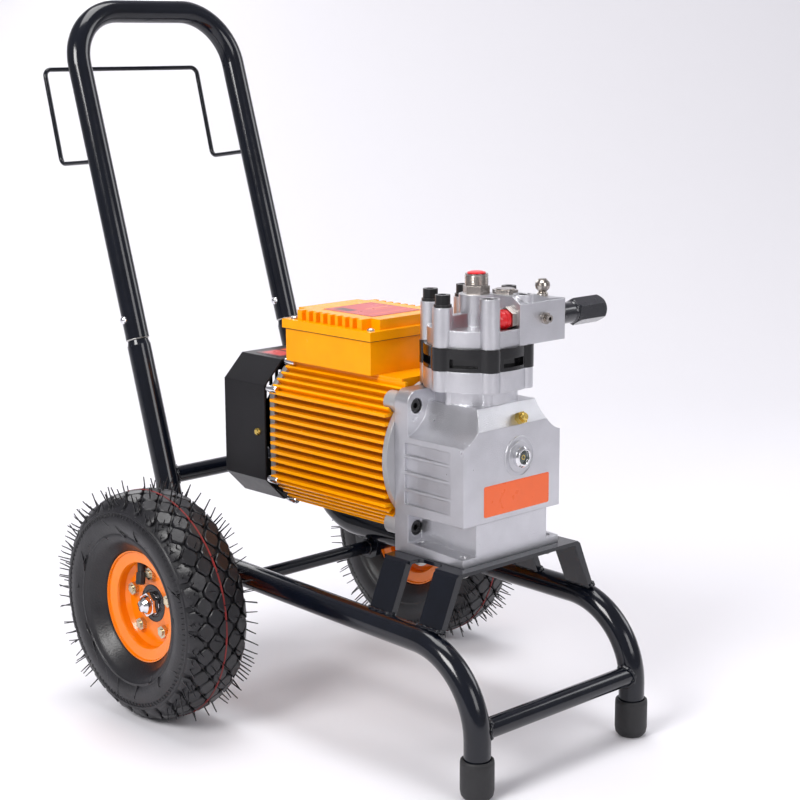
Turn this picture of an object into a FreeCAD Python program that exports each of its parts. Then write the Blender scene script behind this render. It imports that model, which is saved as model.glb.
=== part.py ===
import FreeCAD, Part
import math
import os

import Sketcher
from FreeCAD import Placement, Rotation, Vector

# Airless diaphragm paint sprayer on a two-wheeled trolley.
# Millimetres, +Z up, the front of the machine (feet, pump) towards -Y, the wheels and
# handle towards +Y. Built about the axle's own datum and then moved by axle_shift
# along Y, so that the row's origin is the middle of the footprint on the floor.

doc = FreeCAD.newDocument("airless_sprayer")
sheet = doc.addObject("Spreadsheet::Sheet", "Dims")

DIMS = [
    ("axle_shift", 75.191, "moves the whole machine along Y onto its origin"),
    ("tube_od", 28, "main frame tube, outside"),
    ("tube_wall", 1.8, "main frame tube, wall"),
    ("upright_x", 116.3, "half distance between the uprights"),
    ("side_yaw", 0.53, "side tubes spread towards the front, degrees"),
    ("foot_y", -437.9, "front legs, centre line"),
    ("front_corner_z", 145.1, "virtual corner of rail and leg"),
    ("rear_corner_y", 52, "virtual corner of rail and upright"),
    ("rear_corner_z", 156.6, "virtual corner of rail and upright"),
    ("top_corner_y", 249.5, "virtual corner of upright and handle bar"),
    ("top_corner_z", 785.9, "virtual corner of upright and handle bar"),
    ("bend_front", 88, "bend radius, rail to leg"),
    ("bend_rear", 75, "bend radius, rail to upright"),
    ("bend_top", 68, "bend radius of the handle"),
    ("split_s", 258, "distance up the upright to the handle joint"),
    ("button_s", 281.7, "distance up the upright to the snap buttons"),
    ("neck_od", 24.2, "swaged neck of the side tube"),
    ("button_d", 9.6, "snap button"),
    ("wire_d", 5.6, "hose rack wire"),
    ("cross_od", 21.5, "front cross tube"),
    ("cross_z", 70, "front cross tube height"),
    ("rear_bar_od", 20, "rear cross bar"),
    ("axle_y", -20.7, "axle"),
    ("axle_z", 130, "axle height, equal to the tyre radius"),
    ("axle_d", 16, "axle rod"),
    ("wheel_x", 210.5, "middle plane of each tyre"),
    ("tyre_od", 260, "3.50-4 tyre, outside"),
    ("tyre_w", 84, "3.50-4 tyre, section width"),
    ("rim_flange_r", 63.6, "rim flange radius"),
    ("plate_top", 215, "top of the pump bracket plate"),
    ("plate_t", 4, "bracket plate thickness"),
    ("plate_w", 92, "bracket plate half width at the bend"),
    ("motor_z", 312, "motor axis height"),
    ("motor_half", 81, "motor frame half width over the fins"),
    ("motor_front", -262, "front end of the motor frame"),
    ("motor_rear", -72, "rear end of the motor frame"),
    ("cover_rear", 8, "rear face of the fan cover"),
    ("cover_half", 82, "fan cover half width"),
    ("cover_flat", 55, "half length of the fan cover's flats"),
    ("box_w", 62, "terminal box half width"),
    ("box_y0", -220, "terminal box front"),
    ("box_y1", -80, "terminal box rear"),
    ("box_z0", 396, "terminal box bottom"),
    ("box_z1", 433.5, "terminal box rim"),
    ("lid_z", 443.5, "lid flange top"),
    ("lid_top", 455, "lid plateau top"),
    ("pump_w", 73.5, "pump housing half width"),
    ("pump_front", -371, "pump housing front face"),
    ("pump_rear", -266, "pump housing rear flange face"),
    ("pump_top", 377, "pump housing top plane"),
    ("head_y", -317, "pump head axis"),
    ("bolt_r", 50, "head bolt circle radius"),
    ("flange_z0", 392, "pump flange underside"),
    ("flange_z1", 414, "pump flange top"),
    ("ring_t", 24, "diaphragm ring thickness"),
    ("head_z", 479.5, "bolt column tops"),
    ("knob_z", 461, "pressure knob axis height"),
    ("knob_y", -352, "pressure knob axis"),
    ("stroke", 4, "piston stroke"),
    ("lug_x", 60.5, "flange bolts, half distance across"),
    ("lug_up", 61, "upper flange bolts above the motor axis"),
    ("lug_down", 71, "lower flange bolts below the motor axis"),
]
sheet.set("A1", "name")
sheet.set("B1", "value")
sheet.set("C1", "meaning")
for i, (name, value, meaning) in enumerate(DIMS, 2):
    sheet.set("A%d" % i, name)
    sheet.set("B%d" % i, str(value))
    sheet.set("C%d" % i, meaning)
    sheet.setAlias("B%d" % i, name)
doc.recompute()


class Q:
    """A number together with the sheet expression that gives it."""

    def __init__(self, v, s):
        self.v, self.s = float(v), s

    def _op(self, o, sign, flip=False):
        ov, os_ = (o.v, o.s) if isinstance(o, Q) else (float(o), repr(float(o)))
        a, b, sa, sb = (ov, self.v, os_, self.s) if flip else (self.v, ov, self.s, os_)
        v = a + b if sign == "+" else a - b if sign == "-" else a * b if sign == "*" else a / b
        return Q(v, "(%s %s %s)" % (sa, sign, sb))

    def __add__(self, o): return self._op(o, "+")
    def __radd__(self, o): return self._op(o, "+", True)
    def __sub__(self, o): return self._op(o, "-")
    def __rsub__(self, o): return self._op(o, "-", True)
    def __mul__(self, o): return self._op(o, "*")
    def __rmul__(self, o): return self._op(o, "*", True)
    def __truediv__(self, o): return self._op(o, "/")
    def __neg__(self): return self._op(-1, "*")


class Sheet:
    pass


D = Sheet()
for name, value, meaning in DIMS:
    setattr(D, name, Q(value, "Dims." + name))


def num(x):
    return x.v if isinstance(x, Q) else float(x)


def bind(o, prop, x):
    setattr(o, prop, num(x))
    if isinstance(x, Q):
        o.setExpression(prop, x.s)


def put(o, pos, rot=None):
    o.Placement = Placement(Vector(*[num(p) for p in pos]), rot or Rotation())
    for c, p in zip("xyz", pos):
        if isinstance(p, Q):
            o.setExpression(".Placement.Base." + c, p.s)
    return o


def along(axis):
    return Rotation(Vector(0, 0, 1), Vector(*axis))


X, Y, Z = (1, 0, 0), (0, 1, 0), (0, 0, 1)
count = [0]


def uid(prefix):
    count[0] += 1
    return "%s_%d" % (prefix, count[0])


def cyl(r, height, pos, axis=Z):
    o = doc.addObject("Part::Cylinder", uid("cyl"))
    bind(o, "Radius", r)
    bind(o, "Height", height)
    return put(o, pos, along(axis))


def box(x0, y0, z0, x1, y1, z1):
    o = doc.addObject("Part::Box", uid("box"))
    bind(o, "Length", x1 - x0)
    bind(o, "Width", y1 - y0)
    bind(o, "Height", z1 - z0)
    return put(o, (x0, y0, z0))


def fuse(*objs):
    o = doc.addObject("Part::MultiFuse", uid("fuse"))
    o.Shapes = list(objs)
    o.Refine = True
    return o


def cut(base, *tools):
    tool = tools[0] if len(tools) == 1 else fuse(*tools)
    o = doc.addObject("Part::Cut", uid("cut"))
    o.Base, o.Tool = base, tool
    return o


def common(a, b):
    o = doc.addObject("Part::Common", uid("common"))
    o.Base, o.Tool = a, b
    return o


def group(*objs):
    o = doc.addObject("Part::Compound", uid("group"))
    o.Links = list(objs)
    return o


def origin_plane(b, role):
    for f in b.Origin.OriginFeatures:
        if f.Role == role:
            return f


def new_sketch(b, role, off=0):
    s = b.newObject("Sketcher::SketchObject", uid("sketch"))
    s.AttachmentSupport = [(origin_plane(b, role), "")]
    s.MapMode = "FlatFace"
    s.AttachmentOffset = Placement(Vector(0, 0, num(off)), Rotation())
    if isinstance(off, Q):
        s.setExpression(".AttachmentOffset.Base.z", off.s)
    return s


def pin(s, geo, end, x, y, late):
    for kind, value, line in (("DistanceX", x, -2), ("DistanceY", y, -1)):
        if not isinstance(value, Q) and abs(float(value)) < 1e-9:
            s.addConstraint(Sketcher.Constraint("PointOnObject", geo, end, line))
        else:
            i = s.addConstraint(Sketcher.Constraint(kind, -1, 1, geo, end, num(value)))
            if isinstance(value, Q):
                late.append((i, value.s))


def polygon(s, pts):
    first = s.GeometryCount
    n = len(pts)
    p = [Vector(num(x), num(y), 0) for x, y in pts]
    s.addGeometry([Part.LineSegment(p[i], p[(i + 1) % n]) for i in range(n)], False)
    s.addConstraint([Sketcher.Constraint("Coincident", first + i, 2, first + (i + 1) % n, 1)
                     for i in range(n)])
    late = []
    for i, (x, y) in enumerate(pts):
        pin(s, first + i, 1, x, y, late)
    for i, e in late:
        s.setExpression("Constraints[%d]" % i, e)


def circle(s, x, y, r):
    g = s.addGeometry(Part.Circle(Vector(num(x), num(y), 0), Vector(0, 0, 1), num(r)), False)
    late = []
    pin(s, g, 3, x, y, late)
    i = s.addConstraint(Sketcher.Constraint("Radius", g, num(r)))
    if isinstance(r, Q):
        late.append((i, r.s))
    for i, e in late:
        s.setExpression("Constraints[%d]" % i, e)


def turned(pts, pos=(0, 0, 0), axis=Z, rot=None):
    """A turned piece: (radius, height) outline about its own Z axis."""
    b = doc.addObject("PartDesign::Body", uid("turned"))
    s = new_sketch(b, "XZ_Plane")
    polygon(s, pts)
    f = b.newObject("PartDesign::Revolution", uid("revolution"))
    f.Profile = s
    f.ReferenceAxis = (s, ["V_Axis"])
    f.Angle = 360
    return put(b, pos, rot or along(axis))


def plate(pts, role, start, end, holes=(), pos=(0, 0, 0), rot=None):
    """A flat piece: outline on an origin plane, from start to end along +X, +Y or +Z."""
    b = doc.addObject("PartDesign::Body", uid("plate"))
    s = new_sketch(b, role, -end if role == "XZ_Plane" else start)
    if pts:
        polygon(s, pts)
    for x, y, r in holes:
        circle(s, x, y, r)
    f = b.newObject("PartDesign::Pad", uid("pad"))
    f.Profile = s
    bind(f, "Length", end - start)
    return put(b, pos, rot)


def path(s, pts, radii):
    """Straight runs joined by tangent arcs, in a sketch."""
    p = [Vector(num(x), num(y), 0) for x, y in pts]
    cur, geo = p[0], []
    for i in range(1, len(p) - 1):
        a, c = (p[i - 1] - p[i]).normalize(), (p[i + 1] - p[i]).normalize()
        half = a.getAngle(c) / 2
        r = num(radii[i - 1])
        t = r / math.tan(half)
        m = p[i] + (a + c).normalize() * (r / math.sin(half) - r)
        geo.append(Part.LineSegment(cur, p[i] + a * t))
        geo.append(Part.Arc(p[i] + a * t, m, p[i] + c * t))
        cur = p[i] + c * t
    geo.append(Part.LineSegment(cur, p[-1]))
    s.addGeometry(geo, False)
    return geo


PARTS = {}


def part(name, o):
    """Names a finished piece and moves it onto the machine's origin."""
    o.Label = name
    b = o.Placement.Base
    y = next((e[1] for e in o.ExpressionEngine if e[0].strip(".") == "Placement.Base.y"), None)
    o.Placement = Placement(b + Vector(0, D.axle_shift.v, 0), o.Placement.Rotation)
    o.setExpression(".Placement.Base.y", "%s + Dims.axle_shift" % (y or repr(b.y)))
    PARTS[name] = o
    return o

# ---------------------------------------------------------------- frame geometry
LEAN = math.atan2(D.top_corner_y.v - D.rear_corner_y.v, D.top_corner_z.v - D.rear_corner_z.v)
UP = (0, math.sin(LEAN), math.cos(LEAN))
TOP_S = math.hypot(D.top_corner_y.v - D.rear_corner_y.v, D.top_corner_z.v - D.rear_corner_z.v)
HINGE_Y = D.rear_corner_y.v + D.split_s.v * UP[1] + 19.2


def on_upright(x, s):
    """A point on an upright's centre line, s up from the rear corner."""
    return (x, D.rear_corner_y.v + s * UP[1], D.rear_corner_z.v + s * UP[2])


def side_rot(side):
    return Rotation(Vector(0, 0, 1), side * D.side_yaw.v)


def side_point(side, y, z):
    p = side_rot(side).multVec(Vector(0, y - HINGE_Y, z))
    return (side * D.upright_x.v + p.x, HINGE_Y + p.y, p.z)


def side_rod(side, r, a, b, extra=0):
    """A straight rod along one leg of a side tube, from (y, z) a to b."""
    p, q = Vector(*side_point(side, *a)), Vector(*side_point(side, *b))
    d = (q - p).normalize()
    p = p - d * extra
    return cyl(r, (q - p).Length + extra, tuple(p), tuple(d))


LEG_FOOT = (D.foot_y.v, 5)
FRONT = (D.foot_y.v, D.front_corner_z.v)
REAR = (D.rear_corner_y.v, D.rear_corner_z.v)
SPLIT = (D.rear_corner_y.v + D.split_s.v * UP[1], D.rear_corner_z.v + D.split_s.v * UP[2])
RAIL = Vector(*side_point(1, *FRONT)) - Vector(*side_point(1, *REAR))


def rail_z(y):
    t = (y - D.rear_corner_y.v) / (D.foot_y.v - D.rear_corner_y.v)
    return D.rear_corner_z.v + t * (D.front_corner_z.v - D.rear_corner_z.v)


# Side tubes: leg, rail and upright in one bent tube, its top swaged down to a neck.
for side, word in ((-1, "left"), (1, "right")):
    b = doc.addObject("PartDesign::Body", "side_" + word)
    ring = new_sketch(b, "XY_Plane", LEG_FOOT[1])
    circle(ring, 0, D.foot_y - HINGE_Y, D.tube_od / 2)
    circle(ring, 0, D.foot_y - HINGE_Y, D.tube_od / 2 - D.tube_wall)
    spine = new_sketch(b, "YZ_Plane")
    end = D.split_s.v - 8
    top = (D.rear_corner_y.v + end * UP[1], D.rear_corner_z.v + end * UP[2])
    path(spine, [(y - HINGE_Y, z) for y, z in (LEG_FOOT, FRONT, REAR, top)], [D.bend_front, D.bend_rear])
    pipe = b.newObject("PartDesign::AdditivePipe", uid("pipe"))
    pipe.Profile = ring
    pipe.Spine = (spine, [])
    put(b, (side * D.upright_x, HINGE_Y, 0), side_rot(side))
    ro, ri, rn = D.tube_od / 2, D.tube_od / 2 - D.tube_wall, D.neck_od / 2
    neck = turned([(ri - 1.2, -4), (ro - 0.5, -4), (ro - 0.4, 0), (rn, 7), (rn, 56), (rn - 1.6, 56), (rn - 1.6, 8),
                   (ri - 1.2, 1)], on_upright(side * D.upright_x.v, end), UP)
    hole = cyl(D.button_d / 2 + 0.15, 30, on_upright(side * D.upright_x.v, D.button_s.v), (-1, 0, 0))
    part("side_tube_" + word, cut(fuse(b, neck), hole))

# Handle: one U-shaped tube over both necks.
b = doc.addObject("PartDesign::Body", "handle_body")
ring = new_sketch(b, "XY_Plane", D.split_s)
circle(ring, -D.upright_x, 0, D.tube_od / 2)
circle(ring, -D.upright_x, 0, D.neck_od / 2 + 0.1)
spine = new_sketch(b, "XZ_Plane")
ux = D.upright_x.v
path(spine, [(-ux, D.split_s.v), (-ux, TOP_S), (ux, TOP_S), (ux, D.split_s.v)], [D.bend_top, D.bend_top])
pipe = b.newObject("PartDesign::AdditivePipe", uid("pipe"))
pipe.Profile = ring
pipe.Spine = (spine, [])
put(b, (0, D.rear_corner_y, D.rear_corner_z), along(UP))
holes = [cyl(D.button_d / 2 + 0.15, 30, on_upright(s * ux, D.button_s.v), (-1, 0, 0)) for s in (-1, 1)]
part("handle_tube", cut(b, *holes))

# Snap buttons: a domed pin riveted to a folded spring leaf inside the neck.
for side, word in ((-1, "left"), (1, "right")):
    r = D.button_d / 2
    c = on_upright(side * ux, D.button_s.v)
    dome = turned([(0, 6), (r, 6), (r, D.tube_od / 2 + 0.6), (r - 0.5, D.tube_od / 2 + 2.0), (r - 1.8, D.tube_od / 2 + 3.2),
                   (0, D.tube_od / 2 + 3.8)], c, (-1, 0, 0))
    leaf = box(-9.0, -3.5, -12, -8.0, 3.5, 24)
    fold = box(-9.0, -3.5, 23, -2.0, 3.5, 24)
    back = box(-2.9, -3.5, 0, -2.0, 3.5, 24)
    clip = fuse(leaf, fold, back)
    put(clip, c, along(UP))
    part("snap_button_" + word, fuse(dome, clip))

# Hose rack: one bent wire behind the handle, welded to both uprights.
bar_y, bar_z, low_y, low_z = 307, 716, 276, 602.5
pts = [Vector(-ux, 196, 609.5), Vector(-ux, low_y, low_z), Vector(-ux, bar_y, bar_z),
       Vector(ux, bar_y, bar_z), Vector(ux, low_y, low_z), Vector(ux, 196, 612.5)]
edges, cur = [], pts[0]
for i in range(1, 5):
    a, c = (pts[i - 1] - pts[i]).normalize(), (pts[i + 1] - pts[i]).normalize()
    half = a.getAngle(c) / 2
    r = 9.0
    t = r / math.tan(half)
    edges += [Part.LineSegment(cur, pts[i] + a * t).toShape(),
              Part.Arc(pts[i] + a * t, pts[i] + (a + c).normalize() * (r / math.sin(half) - r), pts[i] + c * t).toShape()]
    cur = pts[i] + c * t
edges.append(Part.LineSegment(cur, pts[5]).toShape())
start = (pts[1] - pts[0]).normalize()
ring = Part.Wire([Part.Circle(pts[0], start, D.wire_d.v / 2).toShape()])
wire = doc.addObject("Part::Feature", "rack_wire")
wire.Shape = Part.Wire(edges).makePipeShell([ring], True, True)
uprights = [cyl(D.tube_od / 2, 300, on_upright(s * ux, 400), UP) for s in (-1, 1)]
part("hose_rack", cut(wire, *uprights))

# Cross members, coped to the side tubes they are welded to.
legs = [side_rod(s, D.tube_od / 2, LEG_FOOT, (FRONT[0], 120)) for s in (-1, 1)]
legs += [side_rod(s, D.tube_od / 2, (FRONT[0], 58), (FRONT[0] + 0.72, 70.5)) for s in (-1, 1)]
legs += [side_rod(s, D.tube_od / 2, (FRONT[0] + 0.72, 70.5), (FRONT[0] + 3.1, 82.5)) for s in (-1, 1)]
part("front_cross_tube", cut(cut(cyl(D.cross_od / 2, 243, (-121.5, D.foot_y, D.cross_z), X),
                                 cyl(D.cross_od / 2 - 1.6, 260, (-130, D.foot_y, D.cross_z), X)), *legs))
bar = (79.0, 242.7)
ups = [side_rod(s, D.tube_od / 2, REAR, SPLIT) for s in (-1, 1)]
part("rear_cross_bar", cut(cut(cyl(D.rear_bar_od / 2, 2 * ux, (-ux, bar[0], bar[1]), X),
                               cyl(D.rear_bar_od / 2 - 1.6, 260, (-130, bar[0], bar[1]), X)), *ups))

# Axle rod and the two lugs that carry it below the rails.
AX = 228
part("axle_rod", cyl(D.axle_d / 2, 2 * AX - 8, (-(AX - 4), D.axle_y, D.axle_z), X))
rails = [side_rod(s, D.tube_od / 2, REAR, FRONT, 0) for s in (-1, 1)]
lugs = []
for s in (-1, 1):
    xc = side_point(s, D.axle_y.v, 0)[0]
    lug = plate([(D.axle_y - 22, 150), (D.axle_y - 16, 122), (D.axle_y - 8, 117.5), (D.axle_y + 8, 117.5),
                 (D.axle_y + 16, 122), (D.axle_y + 22, 150)], "YZ_Plane", xc - 4, xc + 4)
    lugs.append(cut(cut(lug, side_rod(s, D.tube_od / 2, REAR, FRONT, 0)),
                    cyl(D.axle_d / 2, 20, (xc - 10, D.axle_y, D.axle_z), X)))
part("axle_brackets", group(*lugs))

# Rubber feet.
foot = []
for s in (-1, 1):
    x, y, z = side_point(s, D.foot_y.v, 0)
    ro = D.tube_od / 2
    foot.append(turned([(0, 0), (10, 0), (14, 1.2), (16.6, 4.5), (17.6, 10), (17.6, 38), (16.8, 41), (ro, 41.5),
                        (ro, 5), (0, 5)], (x, y, 0)))
part("rubber_feet", group(*foot))

# Bracket: a plate under the pump with a splayed leg at each corner, welded onto the rails.
pt, tt, pw = D.plate_top, D.plate_t, D.plate_w
leg_ends = [(-383, -350), (-309, -276)]
top_plate = plate([(-pw, -383), (pw, -383), (pw, -272), (-pw, -272)], "XY_Plane", pt - tt, pt,
                  holes=[(sx * 64, y, 4.6) for sx in (-1, 1) for y in (-362, -299)])
notches = []
for s in (-1, 1):
    for x0, y0, y1 in ((84, -348, -311), (77, -341, -318)):
        notches.append(box(-110 if s < 0 else x0, y0, pt - 20, -x0 if s < 0 else 110, y1, pt + 5))
    notches += [cyl(7, 25, (s * 84, y, pt - 20)) for y in (-341, -318)]
tabs = []
for s in (-1, 1):
    for y0, y1 in leg_ends:
        tabs.append(plate([(s * (pw - 6), pt), (s * pw, pt), (s * (pw + 4), pt - 3), (s * 119.5, 158), (s * 112.5, 156),
                           (s * (pw - 5), pt - tt)], "XZ_Plane", y0, y1))
part("motor_bracket", cut(fuse(cut(top_plate, *notches), *tabs), *rails))

# Bolts come up through the plate into the pump's foot, on washers.
bolts, washers = [], []
for sx in (-1, 1):
    for y in (-362, -299):
        x = sx * 64
        bolts.append(fuse(cyl(4, tt + 8.6, (x, y, pt - tt - 2.6)),
                          turned([(0, -8.6), (3, -8.6), (6.2, -6.6), (7.2, -4.2), (7.2, -1.6), (0, -1.6)], (x, y, pt - tt)),
                          plate([(7.6 * math.cos(math.radians(60 * i)), 7.6 * math.sin(math.radians(60 * i))) for i in range(6)],
                                "XY_Plane", 0, 3.6, pos=(x, y, pt - tt - 5.2))))
        washers.append(cut(cyl(9.5, 1.6, (x, y, pt - tt - 1.6)), cyl(4, 20, (x, y, pt - 20))))
part("bracket_bolts", group(*bolts))
part("bracket_washers", group(*washers))

# ---------------------------------------------------------------- wheels
def mirror_loop(pts):
    """Closes an outline given for z >= 0 with its mirror image."""
    return list(pts) + [(r, -z) for r, z in reversed(pts) if abs(num(z)) > 1e-6]


def hexagon(flats):
    r = flats / math.sqrt(3)
    return [(r * math.cos(math.radians(60 * i)), r * math.sin(math.radians(60 * i))) for i in range(6)]


R, W = D.tyre_od / 2, D.tyre_w / 2
F = D.rim_flange_r
for side, word in ((-1, "left"), (1, "right")):
    c = (side * D.wheel_x, D.axle_y, D.axle_z)
    ax = (side, 0, 0)
    outer = [(R, 0), (R - 0.4, 12), (R - 2.5, 22), (R - 6, 31), (R - 11, W - 5), (R - 20, W - 1), (R - 32, W),
             (R - 43, W - 1.5), (R - 54, W - 7), (R - 61, 26), (F + 0.7, 20.9), (F + 0.2, 18.4), (F - 2.1, 16.3), (F - 9.4, 16.0),
             (F - 12.2, 13.9), (F - 12.3, 8.6), (F - 9, 8.0), (F - 2.6, 12.0), (R - 64, 15.5), (R - 57, 26), (R - 45, 34.5),
             (R - 33, 36.5), (R - 22, 33), (R - 14, 24), (R - 11, 12), (R - 10, 0)]
    ring = outer[1:-1]
    tyre = turned([outer[0]] + ring + [outer[-1]] + [(r, -z) for r, z in reversed(ring)], c, ax)
    part("tyre_" + word, tyre)
    tube = [(R - 10.6, 0), (R - 11.6, 11.8), (R - 14.6, 23.4), (R - 22.6, 32), (R - 33.2, 35.4), (R - 44.6, 33.6), (R - 56, 25.4),
            (R - 63, 14.4), (F - 3.2, 10), (F - 9.6, 5.4), (F - 11.4, 4.5), (F - 11.4, 0)]
    inner = [(R - 13.1, 0), (R - 14.1, 11.4), (R - 17, 22.2), (R - 23.7, 29.9), (R - 33.4, 32.9), (R - 43.6, 31.3), (R - 54, 23.8),
             (R - 61, 13.0), (F - 1.2, 7.6), (F - 7.6, 3.2), (F - 8.9, 0)]
    b = doc.addObject("PartDesign::Body", "tube_" + word)
    s = new_sketch(b, "XZ_Plane")
    for loop in (tube, inner):
        polygon(s, loop[:1] + loop[1:-1] + loop[-1:] + [(r, -z) for r, z in reversed(loop[1:-1])])
    f = b.newObject("PartDesign::Revolution", uid("revolution"))
    f.Profile, f.ReferenceAxis, f.Angle = s, (s, ["V_Axis"]), 360
    put(b, c, along(ax))
    # The valve stem points in towards the hub, leaning back and out of the dish.
    va, vdir = math.radians(18), None
    rad = Vector(0, math.sin(va), math.cos(va))
    foot_p = Vector(num(c[0]), num(c[1]), num(c[2])) + rad * (F.v - 12.6) + Vector(side * 4.6, 0, 0)
    tip_p = Vector(num(c[0]), num(c[1]), num(c[2])) + rad * 24.5 + Vector(side * 14, 0, 0)
    d = (tip_p - foot_p).normalize()
    L = (tip_p - foot_p).Length
    stem = turned([(0, -4.5), (3.4, -4.5), (3.4, L * 0.5), (4.2, L * 0.52), (4.2, L), (0, L)], tuple(foot_p), tuple(d))
    part("inner_tube_" + word, fuse(b, stem))
    # Pressed rim halves, bolted face to face; the inner one carries the hub tube.
    seat = F - 12.6
    half = [(F, 20.8), (F - 1.6, 20.8), (F - 2.4, 18.4), (seat - 1.4, 16.6), (seat - 2.4, 14.5), (seat - 2.4, 6.5), (seat - 7, 2.4),
            (21, 2.4), (21, 0), (seat - 4.5, 0), (seat, 4.2), (seat, 14.2), (F - 9.5, 16.4), (F - 2.2, 16.7), (F - 0.4, 18.6)]
    five = [(35 * math.cos(math.radians(90 + 72 * i)), 35 * math.sin(math.radians(90 + 72 * i))) for i in range(5)]
    outer_half = turned(half, c, ax)
    cuts = [cyl(4, 12, (c[0] - side * 6, D.axle_y + y, D.axle_z + z), ax) for y, z in five]
    valve_hole = cyl(3.5, 40, tuple(foot_p - d * 20), tuple(d))
    part("rim_outer_" + word, cut(outer_half, valve_hole, *cuts))
    flip = [(r, -z if not isinstance(z, Q) else -z) for r, z in half]
    flip = [p for p in flip if abs(num(p[0]) - 21) > 1e-6]
    hub = [(20.5, -2.4), (20.5, -36), (17.5, -36), (17.5, -1), (17.5, 2.2), (20.5, 2.2), (20.5, 0)]
    i0 = next(i for i, p in enumerate(flip) if abs(num(p[1]) + 2.4) < 1e-6)
    inner_half = turned(flip[:i0 + 1] + hub + flip[i0 + 1:], c, ax)
    cuts = [cyl(4, 12, (c[0] - side * 6, D.axle_y + y, D.axle_z + z), ax) for y, z in five]
    part("rim_inner_" + word, cut(inner_half, *cuts))
    fast = []
    for y, z in five:
        p = (c[0], D.axle_y + y, D.axle_z + z)
        shank = cyl(4, 18, (c[0] - side * 8.5, p[1], p[2]), ax)
        head = plate(hexagon(13), "XY_Plane", 2.4, 7.7, pos=p, rot=along(ax))
        nut = plate(hexagon(13), "XY_Plane", -8.9, -2.4, pos=p, rot=along(ax))
        fast.append(fuse(shank, head, nut))
    part("rim_bolts_" + word, group(*fast))
    races = []
    for z0 in (-9, -34):
        races.append(turned([(D.axle_d / 2 + 0.04, z0), (17.5, z0), (17.5, z0 + 11), (D.axle_d / 2 + 0.04, z0 + 11)], c, ax))
    part("wheel_bearings_" + word, group(*races))

# Domed nuts with washers hold the wheels on the axle.
nuts = []
for s in (-1, 1):
    xo = D.wheel_x + 0.3
    body = fuse(turned([(0, 2), (6.6, 2), (12.5, 2), (12.5, 4.0), (9.6, 4.0), (9.6, 7), (11.2, 11.6), (9.6, 15.8), (6.2, 19.4), (0, 21.4)],
                       (s * xo, D.axle_y, D.axle_z), (s, 0, 0)),
                plate(hexagon(24), "XY_Plane", 4, 11.6, pos=(s * xo, D.axle_y, D.axle_z), rot=along((s, 0, 0))))
    nuts.append(cut(body, cyl(D.axle_d / 2, 2 * AX - 8, (-(AX - 4), D.axle_y, D.axle_z), X)))
part("axle_nuts", group(*nuts))

# ---------------------------------------------------------------- motor
MZ, MH = D.motor_z, D.motor_half
cf = D.cover_flat


def octagon(h, f):
    return [(h, -f), (h, f), (f, h), (-f, h), (-h, f), (-h, -f), (-f, -h), (f, -h)]


# Finned extrusion: a ring with fins that run fore and aft on its flats and bevels.
core_r = 66
fin = []
shell = fuse(cyl(core_r, D.motor_rear - D.motor_front, (0, D.motor_front, MZ), Y),
             plate(octagon(70, 50), "XZ_Plane", D.motor_front, D.motor_rear, pos=(0, 0, MZ)))
for i in range(-5, 6):
    z = i * 9.8
    for s in (-1, 1):
        fin.append(box(-MH if s < 0 else 64, D.motor_front, MZ + z - 1.7, -64 if s < 0 else MH, D.motor_rear, MZ + z + 1.7))
for i in range(-5, 6):
    x = i * 9.8
    fin.append(box(x - 1.7, D.motor_front, MZ - MH, x + 1.7, D.motor_rear, MZ - 64))
for i in (-5, 5):
    x = i * 9.8
    fin.append(box(x - 1.7, D.motor_front, MZ + 64, x + 1.7, D.motor_rear, MZ + MH))
for sx in (-1, 1):
    for sz in (-1, 1):
        for k in (-1.5, -0.5, 0.5, 1.5):
            o = doc.addObject("Part::Box", uid("box"))
            bind(o, "Length", 14)
            bind(o, "Width", D.motor_rear - D.motor_front)
            bind(o, "Height", 2.6)
            mid = 74 + k * 7.4, 74 - k * 7.4
            a = math.degrees(math.atan2(sz, sx))
            rot = Rotation(Vector(0, 1, 0), -a)
            tip = Vector(sx * (60.5 + k * 6.4), 0, sz * (60.5 - k * 6.4))
            p = tip + rot.multVec(Vector(-6, 0, -1.3))
            put(o, (p.x, D.motor_front, MZ + p.z), rot)
            fin.append(o)
pad_top = box(-50, D.motor_front + 6, MZ + 60, 50, D.motor_rear - 4, D.box_z0)
bore = cyl(60, 400, (0, -400, MZ), Y)
lead_hole = cyl(9, 60, (0, -150, MZ + 50), Z)
lugs_at = [(sx * D.lug_x, MZ + z) for sx in (-1, 1) for z in (D.lug_up, -D.lug_down)]
lug_seats = [cyl(12.2, 14, (x, D.motor_front - 1, z), Y) for x, z in lugs_at]
part("motor_housing", cut(fuse(shell, pad_top, *fin), bore, lead_hole, *lug_seats))

# Cast end shields with bearing seats.
part("rear_end_shield", cut(plate(octagon(74, 52), "XZ_Plane", D.motor_rear, D.motor_rear + 8, pos=(0, 0, MZ)),
                            cyl(8.2, 60, (0, D.motor_rear - 20, MZ), Y), cyl(16, 7, (0, D.motor_rear - 1, MZ), Y)))
front = D.motor_front - 7
part("front_end_shield", cut(fuse(cyl(85.5, 6.9, (0, front, MZ), Y), *[cyl(12, 18.5, (x, front, z), Y) for x, z in lugs_at]),
                             box(-70, front - 1, D.flange_z0 - 0.4, 70, D.motor_front + 1, MZ + 90),
                             cyl(20, 40, (0, front - 10, MZ), Y), *[cyl(4, 60, (x, front - 20, z), Y) for x, z in lugs_at]))
shaft_r = 8
slots = [cyl(4.2, 90, (44 * math.cos(math.radians(15 * i)), -210, MZ + 44 * math.sin(math.radians(15 * i))), Y) for i in range(24)]
part("stator_core", cut(cyl(60, 80, (0, -207, MZ), Y), cyl(38, 200, (0, -260, MZ), Y)))
part("stator_windings", group(*[turned([(40, y0), (56, y0), (58, y0 + 9), (56, y0 + 18), (40, y0 + 18)], (0, 0, MZ), Y)
                                for y0 in (-225.2, -126.8)]))
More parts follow.
